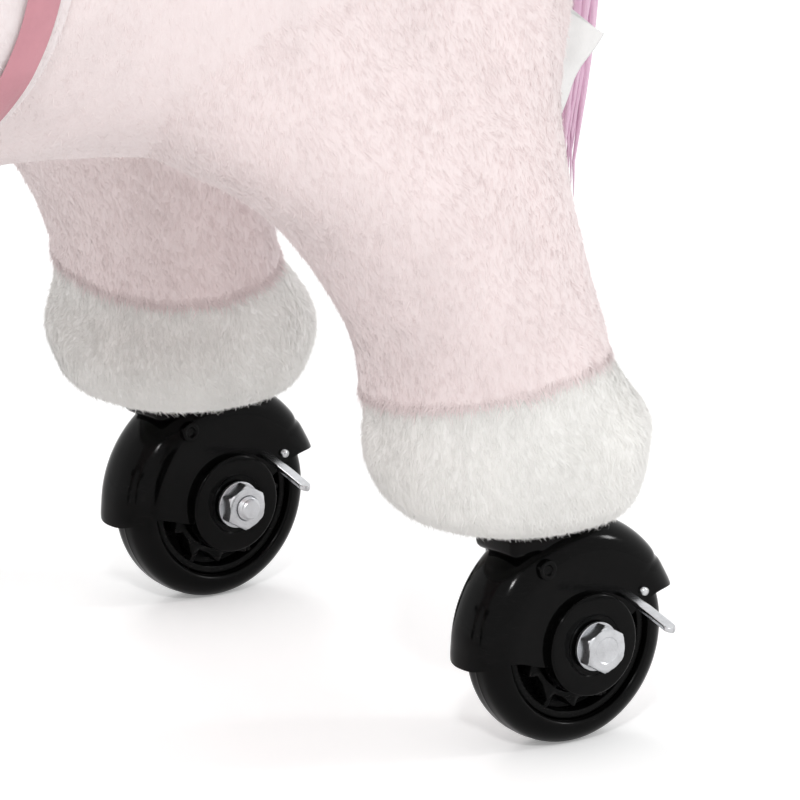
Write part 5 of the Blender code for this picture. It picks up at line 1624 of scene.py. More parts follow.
@dataclass
class Tail:
    """The pink fur tail: wavy locks that leave the rump at a knot and fall in a bow."""

    finish: Wardrobe
    root: tuple[float, float, float] = (0.281, 0.0, 0.402)
    length: float = 0.222
    radius: float = 0.030
    bow: float = 0.046
    locks: int = 420
    knots: int = 17

    def dress(self) -> None:
        """Comb the tail's locks."""
        rng = np.random.default_rng(7)
        n, count = self.locks, self.knots
        t = np.linspace(0, 1, count)[None, :]
        turn = rng.uniform(0, 2 * math.pi, n)[:, None]
        reach = np.sqrt(rng.uniform(0, 1, n))[:, None]
        drop = rng.uniform(0.72, 1.0, n)[:, None]
        bow = self.bow * np.sin(np.minimum(t * 1.6, 1.0) * math.pi / 2) ** 0.9
        swell = self.radius * (0.32 + 0.60 * np.sin(np.clip(t * 1.02 + 0.05, 0, 1) * math.pi * 0.86))
        wave = np.sin(t * rng.uniform(7, 12, n)[:, None] + turn * 3) * 0.0022
        x = self.root[0] + bow + swell * reach * np.cos(turn) * 0.8 + wave
        y = swell * reach * np.sin(turn) + wave
        z = self.root[2] + 0.012 * np.sin(np.minimum(t * 5, 1) * math.pi) - self.length * drop * t**1.08
        x = np.maximum(x, self.root[0] - 0.006 + t * 0.022)
        routes = np.stack([x, y, z], axis=-1)
        obj = parted_locks(shifted(routes), rng.uniform(0.0020, 0.0036, n), rng.uniform(0, 1, n),
                           self.finish.hair, "tail_locks")
        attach(obj, Body.REAR.value)
        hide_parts("tail")


def slab(outer: Array, inner: Array, sheaf: Sheaf, mark: float = 0.0) -> None:
    """Add a closed thin body between two grids of one size, joined round their four borders.

    Args:
        outer: the outer face's grid.
        inner: the inner face's grid.
        sheaf: where the body is added.
        mark: its mark.
    """
    ring = np.concatenate([outer, inner[:, ::-1]], axis=1)
    sheaf.add(ring, wrap=True, caps=False, mark=mark)
    for row, flip in ((0, False), (-1, True)):
        pair = np.stack([inner[row], outer[row]])
        sheaf.add(pair[::-1] if flip else pair, wrap=False, caps=False, mark=mark)


@dataclass
class Saddle:
    """The saddle: padded cloth with long flaps, a satin ribbon near its edge, and the crowned seat."""

    finish: Wardrobe
    covers: Covers
    front: float = -0.099
    rear_top: float = 0.092
    flap_middle: float = -0.0431
    flap_half: float = 0.0560
    flap_depth: float = 0.093
    bottom: float = 0.247
    shoulder: float = 0.445
    top_shoulder: float = 0.535
    padding: float = 0.0042
    margin: float = 0.0085
    ribbon_width: float = 0.0140
    seat_rows: int = 150
    seat_cols: int = 240
    seat_front: float = -0.080
    seat_length: float = 0.196
    seat_top: float = 0.578
    seat_floor: float = 0.535
    seat_half: float = 0.088
    seat_crown: float = 0.030
    seat_power: float = 2.6

    def girth(self) -> tuple[Array, Array]:
        """Return angles down one side from the top and the lengths round the body to them."""
        angle = np.linspace(math.pi / 2, -math.pi / 2 + 0.02, 500)
        ring = BARREL.points(np.full(500, -0.03), angle)
        length = np.concatenate([[0], np.cumsum(np.linalg.norm(np.diff(ring, axis=0), axis=1))])
        return angle, length

    def place(self, x: Array, g: Array, lift: Array | float) -> Array:
        """Return points over the body at places along X and lengths round it, above its skin by a lift.

        Args:
            x: places along X.
            g: lengths round the body from its top.
            lift: how far above the skin.

        Returns:
            The points.
        """
        angles, lengths = self.girth()
        a = np.interp(np.abs(g), lengths, angles)
        a = np.where(g < 0, math.pi - a, a)
        p = BARREL.points(x, a)
        dx = BARREL.points(x + 0.002, a) - BARREL.points(x - 0.002, a)
        da = BARREL.points(x, a + 0.02) - BARREL.points(x, a - 0.02)
        n = unit(np.cross(dx, da))
        away = (p - np.array([0, 0, 0.43])) * np.array([0, 1, 1])
        n = np.where((n * away).sum(-1, keepdims=True) < 0, -n, n)
        lift = np.broadcast_to(np.asarray(lift, float), x.shape)
        return self.covers.body_surface(x, a, False) + n * lift[..., None]

    def outline(self) -> Array:
        """Return the cloth's closed outline in unrolled coordinates, left flap at negative lengths."""
        angles, lengths = self.girth()
        heights = BARREL.points(np.full(500, -0.03), angles)[:, 2]

        def length(z: Array) -> Array:
            """Return the lengths round the body at which its side is at these heights."""
            return np.interp(-np.asarray(z), -heights, lengths)

        centre_z = self.bottom + self.flap_depth
        t = np.linspace(0, math.pi, 60)
        bow_x = self.flap_middle - self.flap_half * np.cos(t)
        bow_g = length(centre_z - self.flap_depth * np.sin(t))
        corner = self.flap_middle + self.flap_half
        rise_x = np.full(29, corner)
        rise_z = np.linspace(centre_z, self.shoulder, 30)[1:]
        s = np.linspace(0, 1, 40)[1:]
        turn_x = corner + (self.rear_top - corner) * s**2
        turn_z = self.shoulder + (self.top_shoulder - self.shoulder) * (1 - (1 - s) ** 2)
        x = np.concatenate([[self.front, self.front], bow_x, rise_x, turn_x, [self.rear_top]])
        g = np.concatenate([[0.0, bow_g[0] * 0.5], bow_g, length(rise_z), length(turn_z), [0.0]])
        route = np.stack([x, g], axis=-1)
        step = np.concatenate([[0], np.cumsum(np.linalg.norm(np.diff(route, axis=0), axis=1))])
        even = np.linspace(0, step[-1], 420)
        half = np.stack([np.interp(even, step, route[:, 0]), np.interp(even, step, route[:, 1])], axis=-1)
        kernel = np.ones(9) / 9
        padded = np.pad(half, ((4, 4), (0, 0)), mode="edge")
        smooth = np.stack([np.convolve(padded[:, c], kernel, mode="valid") for c in (0, 1)], axis=-1)
        smooth[0], smooth[-1] = half[0], half[-1]
        return np.concatenate([smooth * np.array([1, -1]), smooth[::-1][1:-1]])

    def inset(self, route: Array, depth: float) -> Array:
        """Return the outline drawn in by a depth, along its own normals.

        Args:
            route: the outline in unrolled coordinates.
            depth: how deep, in metres.

        Returns:
            The drawn-in outline.
        """
        along = unit(np.roll(route, -3, axis=0) - np.roll(route, 3, axis=0))
        normal = np.stack([along[:, 1], -along[:, 0]], axis=-1)
        middle = np.array([0.0, 0.0])
        side = np.sign(((middle - route) * normal).sum(-1).mean())
        return route + normal * side * depth

    def build_cloth(self) -> None:
        """Sew the padded cloth: its pile stands highest in the middle and thins at the turned edge."""
        route = self.outline()
        left = route[:len(route) // 2 + 1]
        rows_out, rows_in = [], []
        lowest = int(np.argmin(left[:, 1]))
        front_branch, rear_branch = left[:lowest + 1], left[lowest:]
        reach = -left[:, 1].min()
        share = np.sin(np.linspace(-1, 1, 300) * math.pi / 2)
        for g in share * reach * 0.9995:
            xf = np.interp(abs(g), -front_branch[:, 1], front_branch[:, 0])
            xr = np.interp(-abs(g), rear_branch[:, 1], rear_branch[:, 0])
            s = (1 - np.cos(np.linspace(0, math.pi, 90))) / 2
            x = xf + (xr - xf) * s
            edge = np.minimum(np.minimum(x - xf, xr - x), (reach - abs(g)) * 0.8)
            pad = self.padding * np.clip(edge / 0.006, 0, 1) ** 0.5
            groove = 0.0011 * np.exp(-((edge - self.margin * 0.55) / 0.0012) ** 2)
            rows_out.append(self.place(x, np.full(90, g), 0.0008 + pad - groove))
            rows_in.append(self.place(x, np.full(90, g), np.full(90, 0.0003)))
        sheaf = Sheaf()
        slab(shifted(np.array(rows_out)), shifted(np.array(rows_in)), sheaf)
        sheaf.pile(shifted(np.array(rows_out)), 34000, seed=8, wrap=False)
        obj = sheaf.build("saddle_cloth_pile", self.finish.flap)
        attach(obj, Body.ROOT.value)
        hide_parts("saddle_cloth")

    def build_ribbon(self) -> None:
        """Sew the satin ribbon along the cloth, with puckers and a stitched line near each edge."""
        route = self.outline()
        share = np.linspace(0, 1, 15)
        rows = []
        place = np.cumsum(np.linalg.norm(np.diff(route, axis=0, append=route[:1]), axis=1))
        for s in share:
            ring = self.inset(route, self.margin + self.ribbon_width * s)
            stitch = min(abs(s - 0.12), abs(s - 0.88))
            beat = 0.55 + 0.45 * np.cos(place / 0.0045 * 2 * math.pi)
            dimple = 0.00035 * math.exp(-(stitch / 0.07) ** 2) * beat
            spots = np.stack([place, place * 0 + s * 0.004, place * 0], axis=-1)
            pucker = 0.00025 * lattice_noise(spots, 0.012, 21)
            bow = 0.0008 * math.sin(math.pi * min(max(s, 0.02), 0.98)) ** 0.4
            rows.append(self.place(ring[:, 0], ring[:, 1], 0.0022 + self.padding + bow - dimple + pucker))
        section = np.array(rows)
        obj = Sheaf().add(shifted(section), caps=False).build("saddle_ribbon_satin", self.finish.ribbon)
        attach(obj, Body.ROOT.value)
        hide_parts("saddle_ribbon")

    def build_seat(self) -> None:
        """Sew the seat: a crowned cushion whose ends rise, with three sewn channels across it."""
        rows = []
        angle = np.linspace(0, 2 * math.pi, self.seat_cols, endpoint=False)
        for i in range(self.seat_rows + 1):
            s = i / self.seat_rows
            s = (1 - math.cos(math.pi * s)) / 2
            x = self.seat_front + s * self.seat_length
            ends = math.sin(math.pi * min(max(s, 0.006), 0.994)) ** 0.32
            rise = 0.030 * max(0.0, 1 - s / 0.24) ** 1.6 + 0.034 * max(0.0, (s - 0.70) / 0.30) ** 1.5
            channel = sum(0.0042 * math.exp(-((s - c) / 0.014) ** 2) for c in (0.25, 0.5, 0.75))
            top = self.seat_top + (self.seat_crown + rise) * ends - channel
            half = self.seat_half * ends * (0.84 + 0.16 * s) - channel
            c, sn = np.cos(angle), np.sin(angle)
            y = half * blunt(c, self.seat_power)
            z = (top + self.seat_floor) / 2 + (top - self.seat_floor) / 2 * blunt(sn, self.seat_power)
            along = np.full(self.seat_cols, x)
            floor = BARREL.points(along, np.arccos(np.clip(y / BARREL.half_width, -1, 1)))[:, 2] + 0.008
            rows.append(np.stack([along, y, np.where(sn < 0.2, np.maximum(z, floor), z)], axis=-1))
        grid = np.array(rows)
        n = grid_normals(grid)
        n = np.where(((grid - grid.mean(axis=1, keepdims=True)) * n).sum(-1, keepdims=True) < 0, -n, n)
        grid = plush(grid, n, 0.0009)
        obj = Sheaf().add(shifted(grid)).build("saddle_seat_cover", self.finish.saddle)
        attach(obj, Body.ROOT.value)
        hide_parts("saddle_seat")

    def dress(self) -> None:
        """Build the cloth, ribbon and seat."""
        self.build_cloth()
        self.build_ribbon()
        self.build_seat()


@dataclass
class WheelUnit:
    """One caster: moulded fender fork, tyre, ribbed hub with its ratchet, axle bolt, pawl and lever."""

    end: End
    side: Side
    finish: Wardrobe
    fender_radius: float = 0.0490
    cheek_out: float = 0.0170
    cheek_in: float = 0.0135
    wall: float = 0.0028
    boss_radius: float = 0.0205
    boss_face: float = 0.0205
    foot_radius: float = 0.0188
    dome_power: float = 2.35
    wheel_radius: float = 0.043
    tyre_half: float = 0.0115
    tyre_corner: float = 0.0085
    bore: float = 0.0053
    hub_half: float = 0.0128
    rim_radius: float = 0.0292
    rib_count: int = 6
    tooth_count: int = 12
    bolt_hex: float = 0.017
    head_height: float = 0.0064
    lever_power: float = 5.0
    lever_half: tuple[float, float] = (0.0026, 0.0011)

    @property
    def tag(self) -> str:
        """Return the ending that this unit's frame nodes share."""
        return f"{self.end.value}_{self.side.value}"

    @property
    def centre(self) -> Array:
        """Return the axle's middle, from the tyre's box."""
        return np.array(frame_centre(f"tyre_{self.tag}"))

    @property
    def outboard(self) -> int:
        """Return the Y direction away from the pony's middle."""
        return self.side.sign

    def fender_section(self, radius: float, half: float) -> tuple[Array, Array]:
        """Return radius and Y along one layer of the fender, from the left foot over the dome to the right.

        Each cheek runs straight up from its foot and the dome is a superellipse between the cheeks.

        Args:
            radius: the dome's top radius.
            half: half the width, in metres.

        Returns:
            The radii and the places across.
        """
        foot = self.foot_radius
        bend = radius - half * 0.92
        straight = np.linspace(foot, bend, 24)
        dome = np.linspace(0, math.pi, 45)
        r = bend + (radius - bend) * np.sin(dome) ** (2 / self.dome_power)
        y = -half * blunt(np.cos(dome), self.dome_power)
        radii = np.concatenate([straight[:-1], r, straight[::-1][1:]])
        across = np.concatenate([np.full(23, -half), y, np.full(23, half)])
        return radii, across

    def build_fork(self) -> None:
        """Mould the fork: two cheeks and a domed fender in one shell, with boss discs and a crown.

        The shell is a polar grid. Its front and rear limits are angles that open as the radius falls, so that
        the lower edges curve up from the skirts to the boss at the axle.
        """
        sheaf = Sheaf()
        layers = []
        count = 150
        for radius, half, depth in ((self.fender_radius, self.cheek_out, 0.0),
                                    (self.fender_radius - self.wall, self.cheek_in, self.wall)):
            r, y = self.fender_section(radius, half)
            reach = np.clip((r - self.foot_radius) / (self.fender_radius - self.foot_radius), 0, 1)
            front = np.radians(187.0 + 13.0 * (1 - reach) ** 1.6 - 7.0 * np.sin(reach * math.pi) ** 1.2)
            rear = np.radians(17.8 + 2.2 * (1 - reach) ** 1.6 + 6.0 * np.sin(reach * math.pi) ** 1.2)
            u = np.linspace(0, 1, count)[:, None]
            angle = rear + (front - rear) * u
            rim = 0.0006 * np.exp(-(u / 0.035) ** 2) + 0.0006 * np.exp(-((1 - u) / 0.03) ** 2)
            crease = 0.0007 * np.exp(-((u - 0.105) / 0.012) ** 2) * (0 if depth else 1)
            radial = r + (rim - crease) * reach**2 * (0 if depth else 1)
            place = np.broadcast_arrays(radial * np.cos(angle), y, radial * np.sin(angle))
            layers.append(np.stack(place, axis=-1) + self.centre)
        slab(layers[0], layers[1], sheaf)
        for sign in (-1, 1):
            profile = rounded([(self.boss_radius, self.cheek_in), (self.boss_radius, self.boss_face),
                               (0.0125, self.boss_face), (0.0120, self.boss_face - 0.0006),
                               (self.bore, self.boss_face - 0.0006), (self.bore, self.cheek_in)], 0.0011)
            sheaf.add(turned(profile + profile[:1], self.centre, sign, 96), caps=False)
        for sign in (-1, 1):
            at = self.centre + np.array([-0.0206, 0, 0.0333])
            profile = rounded([(0.0040, self.cheek_in + 0.0018), (0.0040, self.cheek_out + 0.0012),
                               (0.0022, self.cheek_out + 0.0012), (0.0018, self.cheek_out + 0.0002),
                               (0.0001, self.cheek_out + 0.0002)], 0.0006)
            sheaf.add(turned(profile, at, sign, 40), caps=False)
        sheaf.add(box_grid((0.048, 0.0266, 0.0215), self.centre + np.array([-0.010, 0, 0.0485]), 0.003))
        obj = sheaf.build(f"fender_{self.tag}", self.finish.fender)
        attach(obj, self.end.body.value)
        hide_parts(f"fork_{self.tag}")

    def build_tyre(self) -> None:
        """Revolve the tyre: a smooth rounded band with a fine mould line round its middle."""
        r, w, bend = self.wheel_radius, self.tyre_half, self.tyre_corner
        half = [(0.0327, w - 0.0012), (0.0338, w), (r - bend, w)]
        t = np.linspace(0, math.pi / 2, 14)[1:]
        corner = [(r - bend + 0.0083 * math.sin(a), w - bend + bend * math.cos(a)) for a in t]
        crown = [(r - 0.0001, 0.0012), (r - 0.00005, 0.0004), (r, 0.0002)]
        side = half + corner + crown
        profile = side + [(a, -b) for a, b in side[::-1]]
        profile = profile + [profile[0]]
        sheaf = Sheaf().add(revolve(profile, self.centre, 180), caps=False)
        obj = sheaf.build(f"tread_{self.tag}", self.finish.tyre)
        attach(obj, f"wheel_{self.tag}")
        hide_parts(f"tyre_{self.tag}")

    def build_hub(self) -> None:
        """Mould the hub: rim, web, core, six ribs a side and twelve ratchet teeth on the left face."""
        sheaf = Sheaf()
        half, seat, web, core = 0.00925, 0.0322, 0.003, self.hub_half
        above = [(self.bore, core), (0.0120, core), (0.0122, web), (self.rim_radius, web),
                 (self.rim_radius, half), (seat, half)]
        profile = rounded(above + [(r, -y) for r, y in above[::-1]], 0.0007, 3)
        sheaf.add(revolve(profile + profile[:1], self.centre, 120), caps=False)
        for i in range(self.rib_count):
            angle = 2 * math.pi * i / self.rib_count
            for y in (-1, 1):
                box = box_grid((0.0185, 0.0062, 0.0022), (0.0206, 0, 0), 0.0006)
                c, s = math.cos(angle), math.sin(angle)
                turned = np.stack([box[..., 0] * c - box[..., 2] * s, box[..., 1] + y * 0.0055,
                                   box[..., 0] * s + box[..., 2] * c], axis=-1)
                sheaf.add(turned + self.centre)
        pitch = 360 // self.tooth_count
        phase = math.degrees(math.atan2(0.0241, 0.0120)) - pitch * 0.32
        corners = []
        for i in range(self.tooth_count):
            for r, step in ((0.0272, 0), (0.0235, 0.12), (0.0235, 0.52)):
                corners.append((r, math.radians(pitch * (i + step) + phase)))
        ring = np.array([(r * math.cos(a), r * math.sin(a)) for r, a in corners])
        ring = np.array(rounded(list(map(tuple, ring)), 0.0007, 2, True))
        outer = np.stack([ring[:, 0], np.zeros(len(ring)), ring[:, 1]], axis=-1)
        inner = unit(outer) * 0.0212
        rows = [inner + [0, -0.0114, 0], outer * [0.985, 1, 0.985] + [0, -0.0114, 0], outer + [0, -0.0110, 0],
                outer + [0, -0.0025, 0], inner + [0, -0.0025, 0]]
        rows.append(rows[0])
        sheaf.add(np.array(rows)[:, ::-1] + self.centre, caps=False)
        obj = sheaf.build(f"hub_body_{self.tag}", self.finish.hub)
        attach(obj, f"wheel_{self.tag}")
        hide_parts(f"hub_{self.tag}")

    def build_bolt(self) -> None:
        """Cut the axle bolt: washers, a chamfered hexagon each side and the threaded tail inboard.

        A hexagon's ring is the lesser of the hexagon's own radius at each angle and the chamfer's circle.
        """
        sheaf = Sheaf()
        steps = 120
        angle = np.linspace(0, 2 * math.pi, steps, endpoint=False)
        face = self.boss_face + 0.0003
        apothem = self.bolt_hex / 2
        hexagon = apothem / np.cos((angle + math.pi / 6) % (math.pi / 3) - math.pi / 6)
        for sign in (-1, 1):
            back = face + 0.0016
            washer = rounded([(0.0052, face), (0.0098, face), (0.0098, back), (0.0052, back)], 0.0004)
            sheaf.add(turned(washer, self.centre, sign, steps), caps=False)
            outer = face + 0.0016 + self.head_height
            rows = []
            for y, limit in ((face + 0.0015, 0.0093), (face + 0.0020, 0.0097), (outer - 0.0014, 0.0099),
                             (outer - 0.0007, 0.0092), (outer - 0.0002, 0.0085), (outer, 0.0078),
                             (outer, 0.0055), (outer - 0.0003, 0.0050), (outer - 0.0003, 0.0001)):
                r = np.minimum(hexagon, limit)
                rows.append(np.stack([r * np.cos(angle), np.full(steps, sign * y), r * np.sin(angle)],
                                     axis=-1))
            grid = np.array(rows) + self.centre
            sheaf.add(grid if sign > 0 else grid[:, ::-1], caps=False)
        inboard = -self.outboard
        start, end = face + 0.0060, face + 0.0110
        profile = [(0.0042, start)]
        for i in range(7):
            y = start + (end - start - 0.001) * (i + 0.5) / 7
            profile += [(0.0049, y - 0.00018), (0.0044, y + 0.00018)]
        profile += [(0.0042, end - 0.0006), (0.0036, end), (0.0001, end)]
        sheaf.add(turned(profile, self.centre, inboard, 60), caps=False)
        shank = [(0.0001, -0.025), (0.0049, -0.0249), (0.0049, 0.0249), (0.0001, 0.025)]
        sheaf.add(revolve(shank, self.centre, 40))
        obj = sheaf.build(f"bolt_{self.tag}", self.finish.zinc, smooth=False)
        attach(obj, self.end.body.value)
        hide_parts(f"axle_bolt_{self.tag}")

    def build_pawl(self) -> None:
        """Press the pawl and its lever: a flat steel strip with a rounded tip and a narrower root."""
        sheaf = Sheaf()
        pin = self.centre + np.array([0.0262, 0, 0.0168])
        nose = self.centre + np.array([0.0122, 0, 0.0246])
        t = np.linspace(0, 2 * math.pi, 48, endpoint=False)
        along = unit(nose - pin)
        across = np.array([-along[2], 0, along[0]])
        c, s = np.cos(t)[:, None], np.sin(t)[:, None]
        base = np.where(c > 0, nose - self.centre, pin - self.centre)
        ring = base + (c * along + s * across) * 0.0030
        rows = [ring + [0, y, 0] for y in (-0.0132, -0.0114)]
        sheaf.add(np.array(rows) + self.centre)
        sheaf.add(revolve([(0.0016, -0.0114), (0.0016, -0.0096), (0.0001, -0.0095)], nose, 20))
        sheaf.add(revolve([(0.0016, -0.0120), (0.0016, -0.0186), (0.0001, -0.0188)], pin, 24))
        root = self.centre + np.array([0.0150, -0.0123, 0.0180])
        tip = self.centre + np.array([0.0128, -self.boss_face - 0.033, 0.0120])
        rounding = np.sin(np.linspace(0, 1, 14)[1:] * math.pi / 2)
        shares = np.concatenate([np.linspace(0, 0.93, 60), 0.93 + 0.07 * rounding])
        wide = np.interp(shares, [0, 0.44, 0.50, 0.93], [0.80, 0.86, 1.0, 1.0])
        end = np.clip((shares - 0.93) / 0.07, 0, 1)
        wide = wide * np.sqrt(np.clip(1 - end**2, 0.02, 1))
        bend = 0.0004 * np.sin(shares * math.pi)
        rows = []
        for share, w, b in zip(shares, wide, bend):
            ease = max(share - 0.2, 0.0) / 0.8
            middle = root + (tip - root) * np.array([ease, share, ease]) + np.array([0, 0, b])
            x = self.lever_half[0] * w * blunt(np.cos(t), self.lever_power)
            z = self.lever_half[1] * blunt(np.sin(t), self.lever_power)
            rows.append(middle + np.stack([x, np.zeros(48), z], axis=-1))
        sheaf.add(np.array(rows)[:, ::-1])
        obj = sheaf.build(f"pawl_lever_{self.tag}", self.finish.steel)
        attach(obj, f"ratchet_{self.tag}")
        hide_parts(f"pawl_{self.tag}")

    def dress(self) -> None:
        """Build the whole unit."""
        self.build_fork()
        self.build_tyre()
        self.build_hub()
        self.build_bolt()
        self.build_pawl()


@dataclass
class Handles:
    """The steel bar and its two ribbed rubber grips."""

    finish: Wardrobe
    bar: tuple[float, float] = (-0.232, 0.700)
    half_length: float = 0.158

    def dress(self) -> None:
        """Build the bar and the grips."""
        at = np.array([self.bar[0], 0, self.bar[1]])
        end = self.half_length - 0.0003
        profile = rounded([(0.0001, -end), (0.0095, -end), (0.0095, end), (0.0001, end)], 0.001)
        obj = Sheaf().add(shifted(revolve(profile, at, 64)), caps=False).build("bar_tube", self.finish.steel)
        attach(obj, Body.STEERING.value)
        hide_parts("handlebar")
        for side in Side:
            inner = self.half_length - 0.085
            profile = [(0.0101, inner), (0.0180, inner), (0.0195, inner + 0.0012), (0.0195, inner + 0.0048),
                       (0.0182, inner + 0.0060), (0.0142, inner + 0.0072)]
            for i in range(9):
                start = inner + 0.0085 + i * 0.0078
                profile += [(0.0137, start), (0.0150, start + 0.0018), (0.0150, start + 0.0052),
                            (0.0137, start + 0.0068)]
            profile += [(0.0145, self.half_length - 0.001), (0.0120, self.half_length + 0.0004),
                        (0.0001, self.half_length + 0.0006)]
            grid = turned(profile, at, side.sign, 72)
            obj = Sheaf().add(shifted(grid), caps=False).build(f"grip_rubber_{side.value}", self.finish.grip)
            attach(obj, Body.STEERING.value)
            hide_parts(f"grip_{side.value}")


@dataclass
class Label:
    """The folded satin care label, sewn in the rump's seam beside the tail and left bare."""

    finish: Wardrobe
    width: float = 0.038
    length: float = 0.036

    def dress(self) -> None:
        """Fold one strip of satin into a loop that leans out from the seam, its leaves close and curled."""
        rows = []
        cols = np.linspace(0, 1, 30)
        foot, out = np.array([0.54, 0.84]), np.array([0.84, -0.54])
        corner = np.array([0.281, 0.236])
        count = 90
        for i in range(count):
            t = i / (count - 1)
            leaf = -1 if t < 0.5 else 1
            down = 1 - abs(2 * t - 1)
            fold = math.sin(math.pi * min(max((t - 0.40) / 0.20, 0), 1))
            gap = 0.0004 + 0.0009 * down + 0.0006 * fold
            curl = 0.0030 * down**2 * np.sin(cols * math.pi * 0.9 + 0.4)
            fan = 0.0035 * (1 - down) if leaf > 0 else 0.0
            reach = self.length * (down - 1) + 0.0006 * np.sin(cols * 9)
            flat = corner + foot * (self.width * cols[:, None] + fan) + out * reach[:, None]
            y = -0.078 + leaf * gap * (1 - fold * 0.6) + curl
            rows.append(np.stack([flat[:, 0], y, flat[:, 1]], axis=-1))
        grid = shifted(np.array(rows))
        obj = Sheaf().add(grid, wrap=False, caps=False).build("care_label_loop", self.finish.label)
        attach(obj, Body.REAR.value)
        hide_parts("care_label")


@dataclass
class Footrests:
    """Two ribbed treads behind the front hooves."""

    finish: Wardrobe

    def dress(self) -> None:
        """Mould each tread with rounded corners and raised ribs."""
        for side in Side:
            at = np.array(frame_centre(f"footrest_{side.value}"))
            sheaf = Sheaf().add(box_grid((0.076, 0.074, 0.0130), at - np.array([0, 0, 0.0012]), 0.0035))
            for i in range(9):
                x = (i - 4) * 0.0078
                sheaf.add(box_grid((0.0034, 0.062, 0.0030), at + np.array([x, 0, 0.0061]), 0.0012))
            obj = sheaf.build(f"tread_plate_{side.value}", self.finish.hub)
            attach(obj, Body.FRONT.value)
            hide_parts(f"footrest_{side.value}")


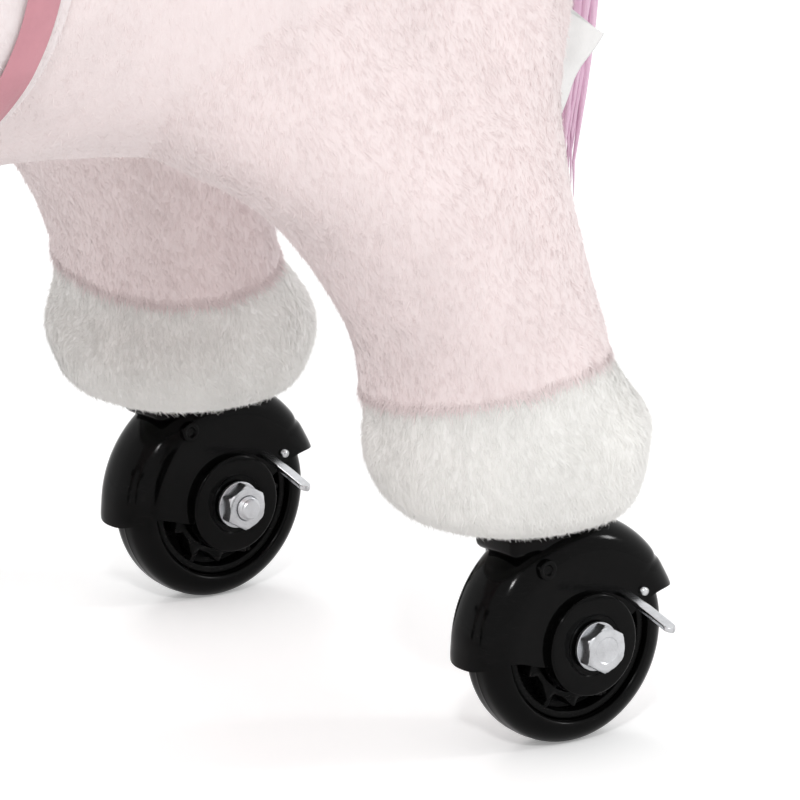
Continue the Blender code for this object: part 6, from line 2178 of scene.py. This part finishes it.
@dataclass
class Studio:
    """The camera that stands where the photograph was taken, the white surround and the lamps."""

    azimuth: float = 35.6
    elevation: float = 15.2
    right: float = -0.0637
    up: float = 0.091
    distance: float = 3.0
    lens: float = 345.6

    def axes(self) -> tuple[Array, Array, Array]:
        """Return the camera's forward, right and up directions."""
        a, e = math.radians(self.azimuth), math.radians(self.elevation)
        forward = np.array([math.sin(a) * math.cos(e), math.cos(a) * math.cos(e), -math.sin(e)])
        right = np.array([math.cos(a), -math.sin(a), 0.0])
        return forward, right, np.cross(right, forward)

    def camera(self) -> None:
        """Place the camera by the near rear wheel's axle."""
        forward, right, up = self.axes()
        aim = np.array(frame_centre("tyre_rear_left")) + right * self.right + up * self.up
        place = aim - forward * self.distance
        data = bpy.data.cameras.new("camera")
        data.lens, data.sensor_width = self.lens, 36.0
        data.clip_start, data.clip_end = 0.05, 60.0
        obj = bpy.data.objects.new("camera", data)
        turn = Matrix((right, up, -forward)).transposed()
        obj.matrix_world = Matrix.Translation(Vector(place)) @ turn.to_4x4()
        bpy.context.scene.collection.objects.link(obj)
        bpy.context.scene.camera = obj

    @staticmethod
    def floor() -> None:
        """Lay the white floor that catches the shadow."""
        mesh = bpy.data.meshes.new("floor")
        mesh.from_pydata([(-6, -6, 0), (6, -6, 0), (6, 6, 0), (-6, 6, 0)], [], [(0, 1, 2, 3)])
        obj = bpy.data.objects.new("floor", mesh)
        tree = Tree("floor_white")
        tree.set(Base_Color=(0.95, 0.95, 0.95, 1), Roughness=0.9, Specular_IOR_Level=0.0)
        seen = tree.node("ShaderNodeLightPath").outputs["Is Camera Ray"]
        lift = tree.node("ShaderNodeMath", operation="MULTIPLY")
        lift.inputs[1].default_value = 0.22
        tree.join(seen, lift.inputs[0])
        tree.set(Emission_Color=(1, 1, 1, 1))
        tree.join(lift.outputs[0], tree.shader.inputs["Emission Strength"])
        mesh.materials.append(tree.material)
        bpy.context.scene.collection.objects.link(obj)

    @staticmethod
    def sky() -> None:
        """Make the surround white to the camera and soft to everything else."""
        world = bpy.data.worlds.new("surround")
        bpy.context.scene.world = world
        world.use_nodes = True
        nodes, links = world.node_tree.nodes, world.node_tree.links
        nodes.clear()
        out = nodes.new("ShaderNodeOutputWorld")
        mix = nodes.new("ShaderNodeMixShader")
        soft, white = nodes.new("ShaderNodeBackground"), nodes.new("ShaderNodeBackground")
        soft.inputs["Color"].default_value = (1, 1, 1, 1)
        soft.inputs["Strength"].default_value = 0.80
        white.inputs["Color"].default_value = (1, 1, 1, 1)
        white.inputs["Strength"].default_value = 1.0
        path = nodes.new("ShaderNodeLightPath")
        reached = path.outputs["Is Camera Ray"]
        for kind in ("Is Glossy Ray", "Is Transmission Ray"):
            either = nodes.new("ShaderNodeMath")
            either.operation = "MAXIMUM"
            links.new(reached, either.inputs[0])
            links.new(path.outputs[kind], either.inputs[1])
            reached = either.outputs[0]
        links.new(reached, mix.inputs["Fac"])
        links.new(soft.outputs[0], mix.inputs[1])
        links.new(white.outputs[0], mix.inputs[2])
        links.new(mix.outputs[0], out.inputs["Surface"])

    @staticmethod
    def lamp(name: str, place: Sequence[float], aim: Sequence[float], size: float, power: float) -> None:
        """Hang one square area lamp that looks at a point.

        Args:
            name: the lamp's name.
            place: where it hangs.
            aim: the point it looks at.
            size: its side, in metres.
            power: its power, in watts.
        """
        data = bpy.data.lights.new(name, "AREA")
        data.energy, data.size = power, size
        obj = bpy.data.objects.new(name, data)
        obj.location = place
        obj.rotation_euler = (Vector(aim) - Vector(place)).to_track_quat("-Z", "Y").to_euler()
        bpy.context.scene.collection.objects.link(obj)

    def dress(self) -> None:
        """Set the camera, the surround and the lamps."""
        self.camera()
        self.floor()
        self.sky()
        self.lamp("key", (-1.6, -2.4, 2.4), (0.1, 0, 0.2), 0.34, 36.0)
        self.lamp("fill", (2.6, -1.6, 1.4), (0.2, 0, 0.2), 0.36, 13.0)
        self.lamp("rear", (1.2, 2.6, 2.4), (0.1, 0, 0.2), 1.2, 20.0)
        scene = bpy.context.scene
        scene.view_settings.view_transform = "Standard"


@dataclass
class Frame:
    """The parts of the frame that keep their own form and take a finish."""

    finish: Wardrobe

    def dress(self) -> None:
        """Put a procedural finish on every part of the frame that still shows or could show."""
        given = {
            self.finish.paint: ("spine_beam", "steering_yoke", "neck_post", "front_leg_frame",
                                "rear_leg_frame"),
            self.finish.zinc: ("rear_pivot_bolt", "front_pivot_bolt"),
            self.finish.steel: ("rear_spring", "front_spring"),
            self.finish.board: ("seat_board",),
            self.finish.foam: ("seat_foam",),
        }
        for material, names in given.items():
            for name in names:
                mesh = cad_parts[name].data
                mesh.materials.clear()
                mesh.materials.append(material)


def main() -> None:
    """Dress the frame piece by piece and finish."""
    finish = Wardrobe.stock()
    covers = Covers(finish)
    pieces = [covers, Neck(finish), Tail(finish), Saddle(finish, covers), Handles(finish),
              Label(finish), Footrests(finish), Frame(finish)]
    pieces += [WheelUnit(end, side, finish) for end in End for side in Side]
    for piece in pieces:
        piece.dress()
        LOG.info("dressed %s", type(piece).__name__)
    Studio().dress()


if __name__ == "__main__":
    main()
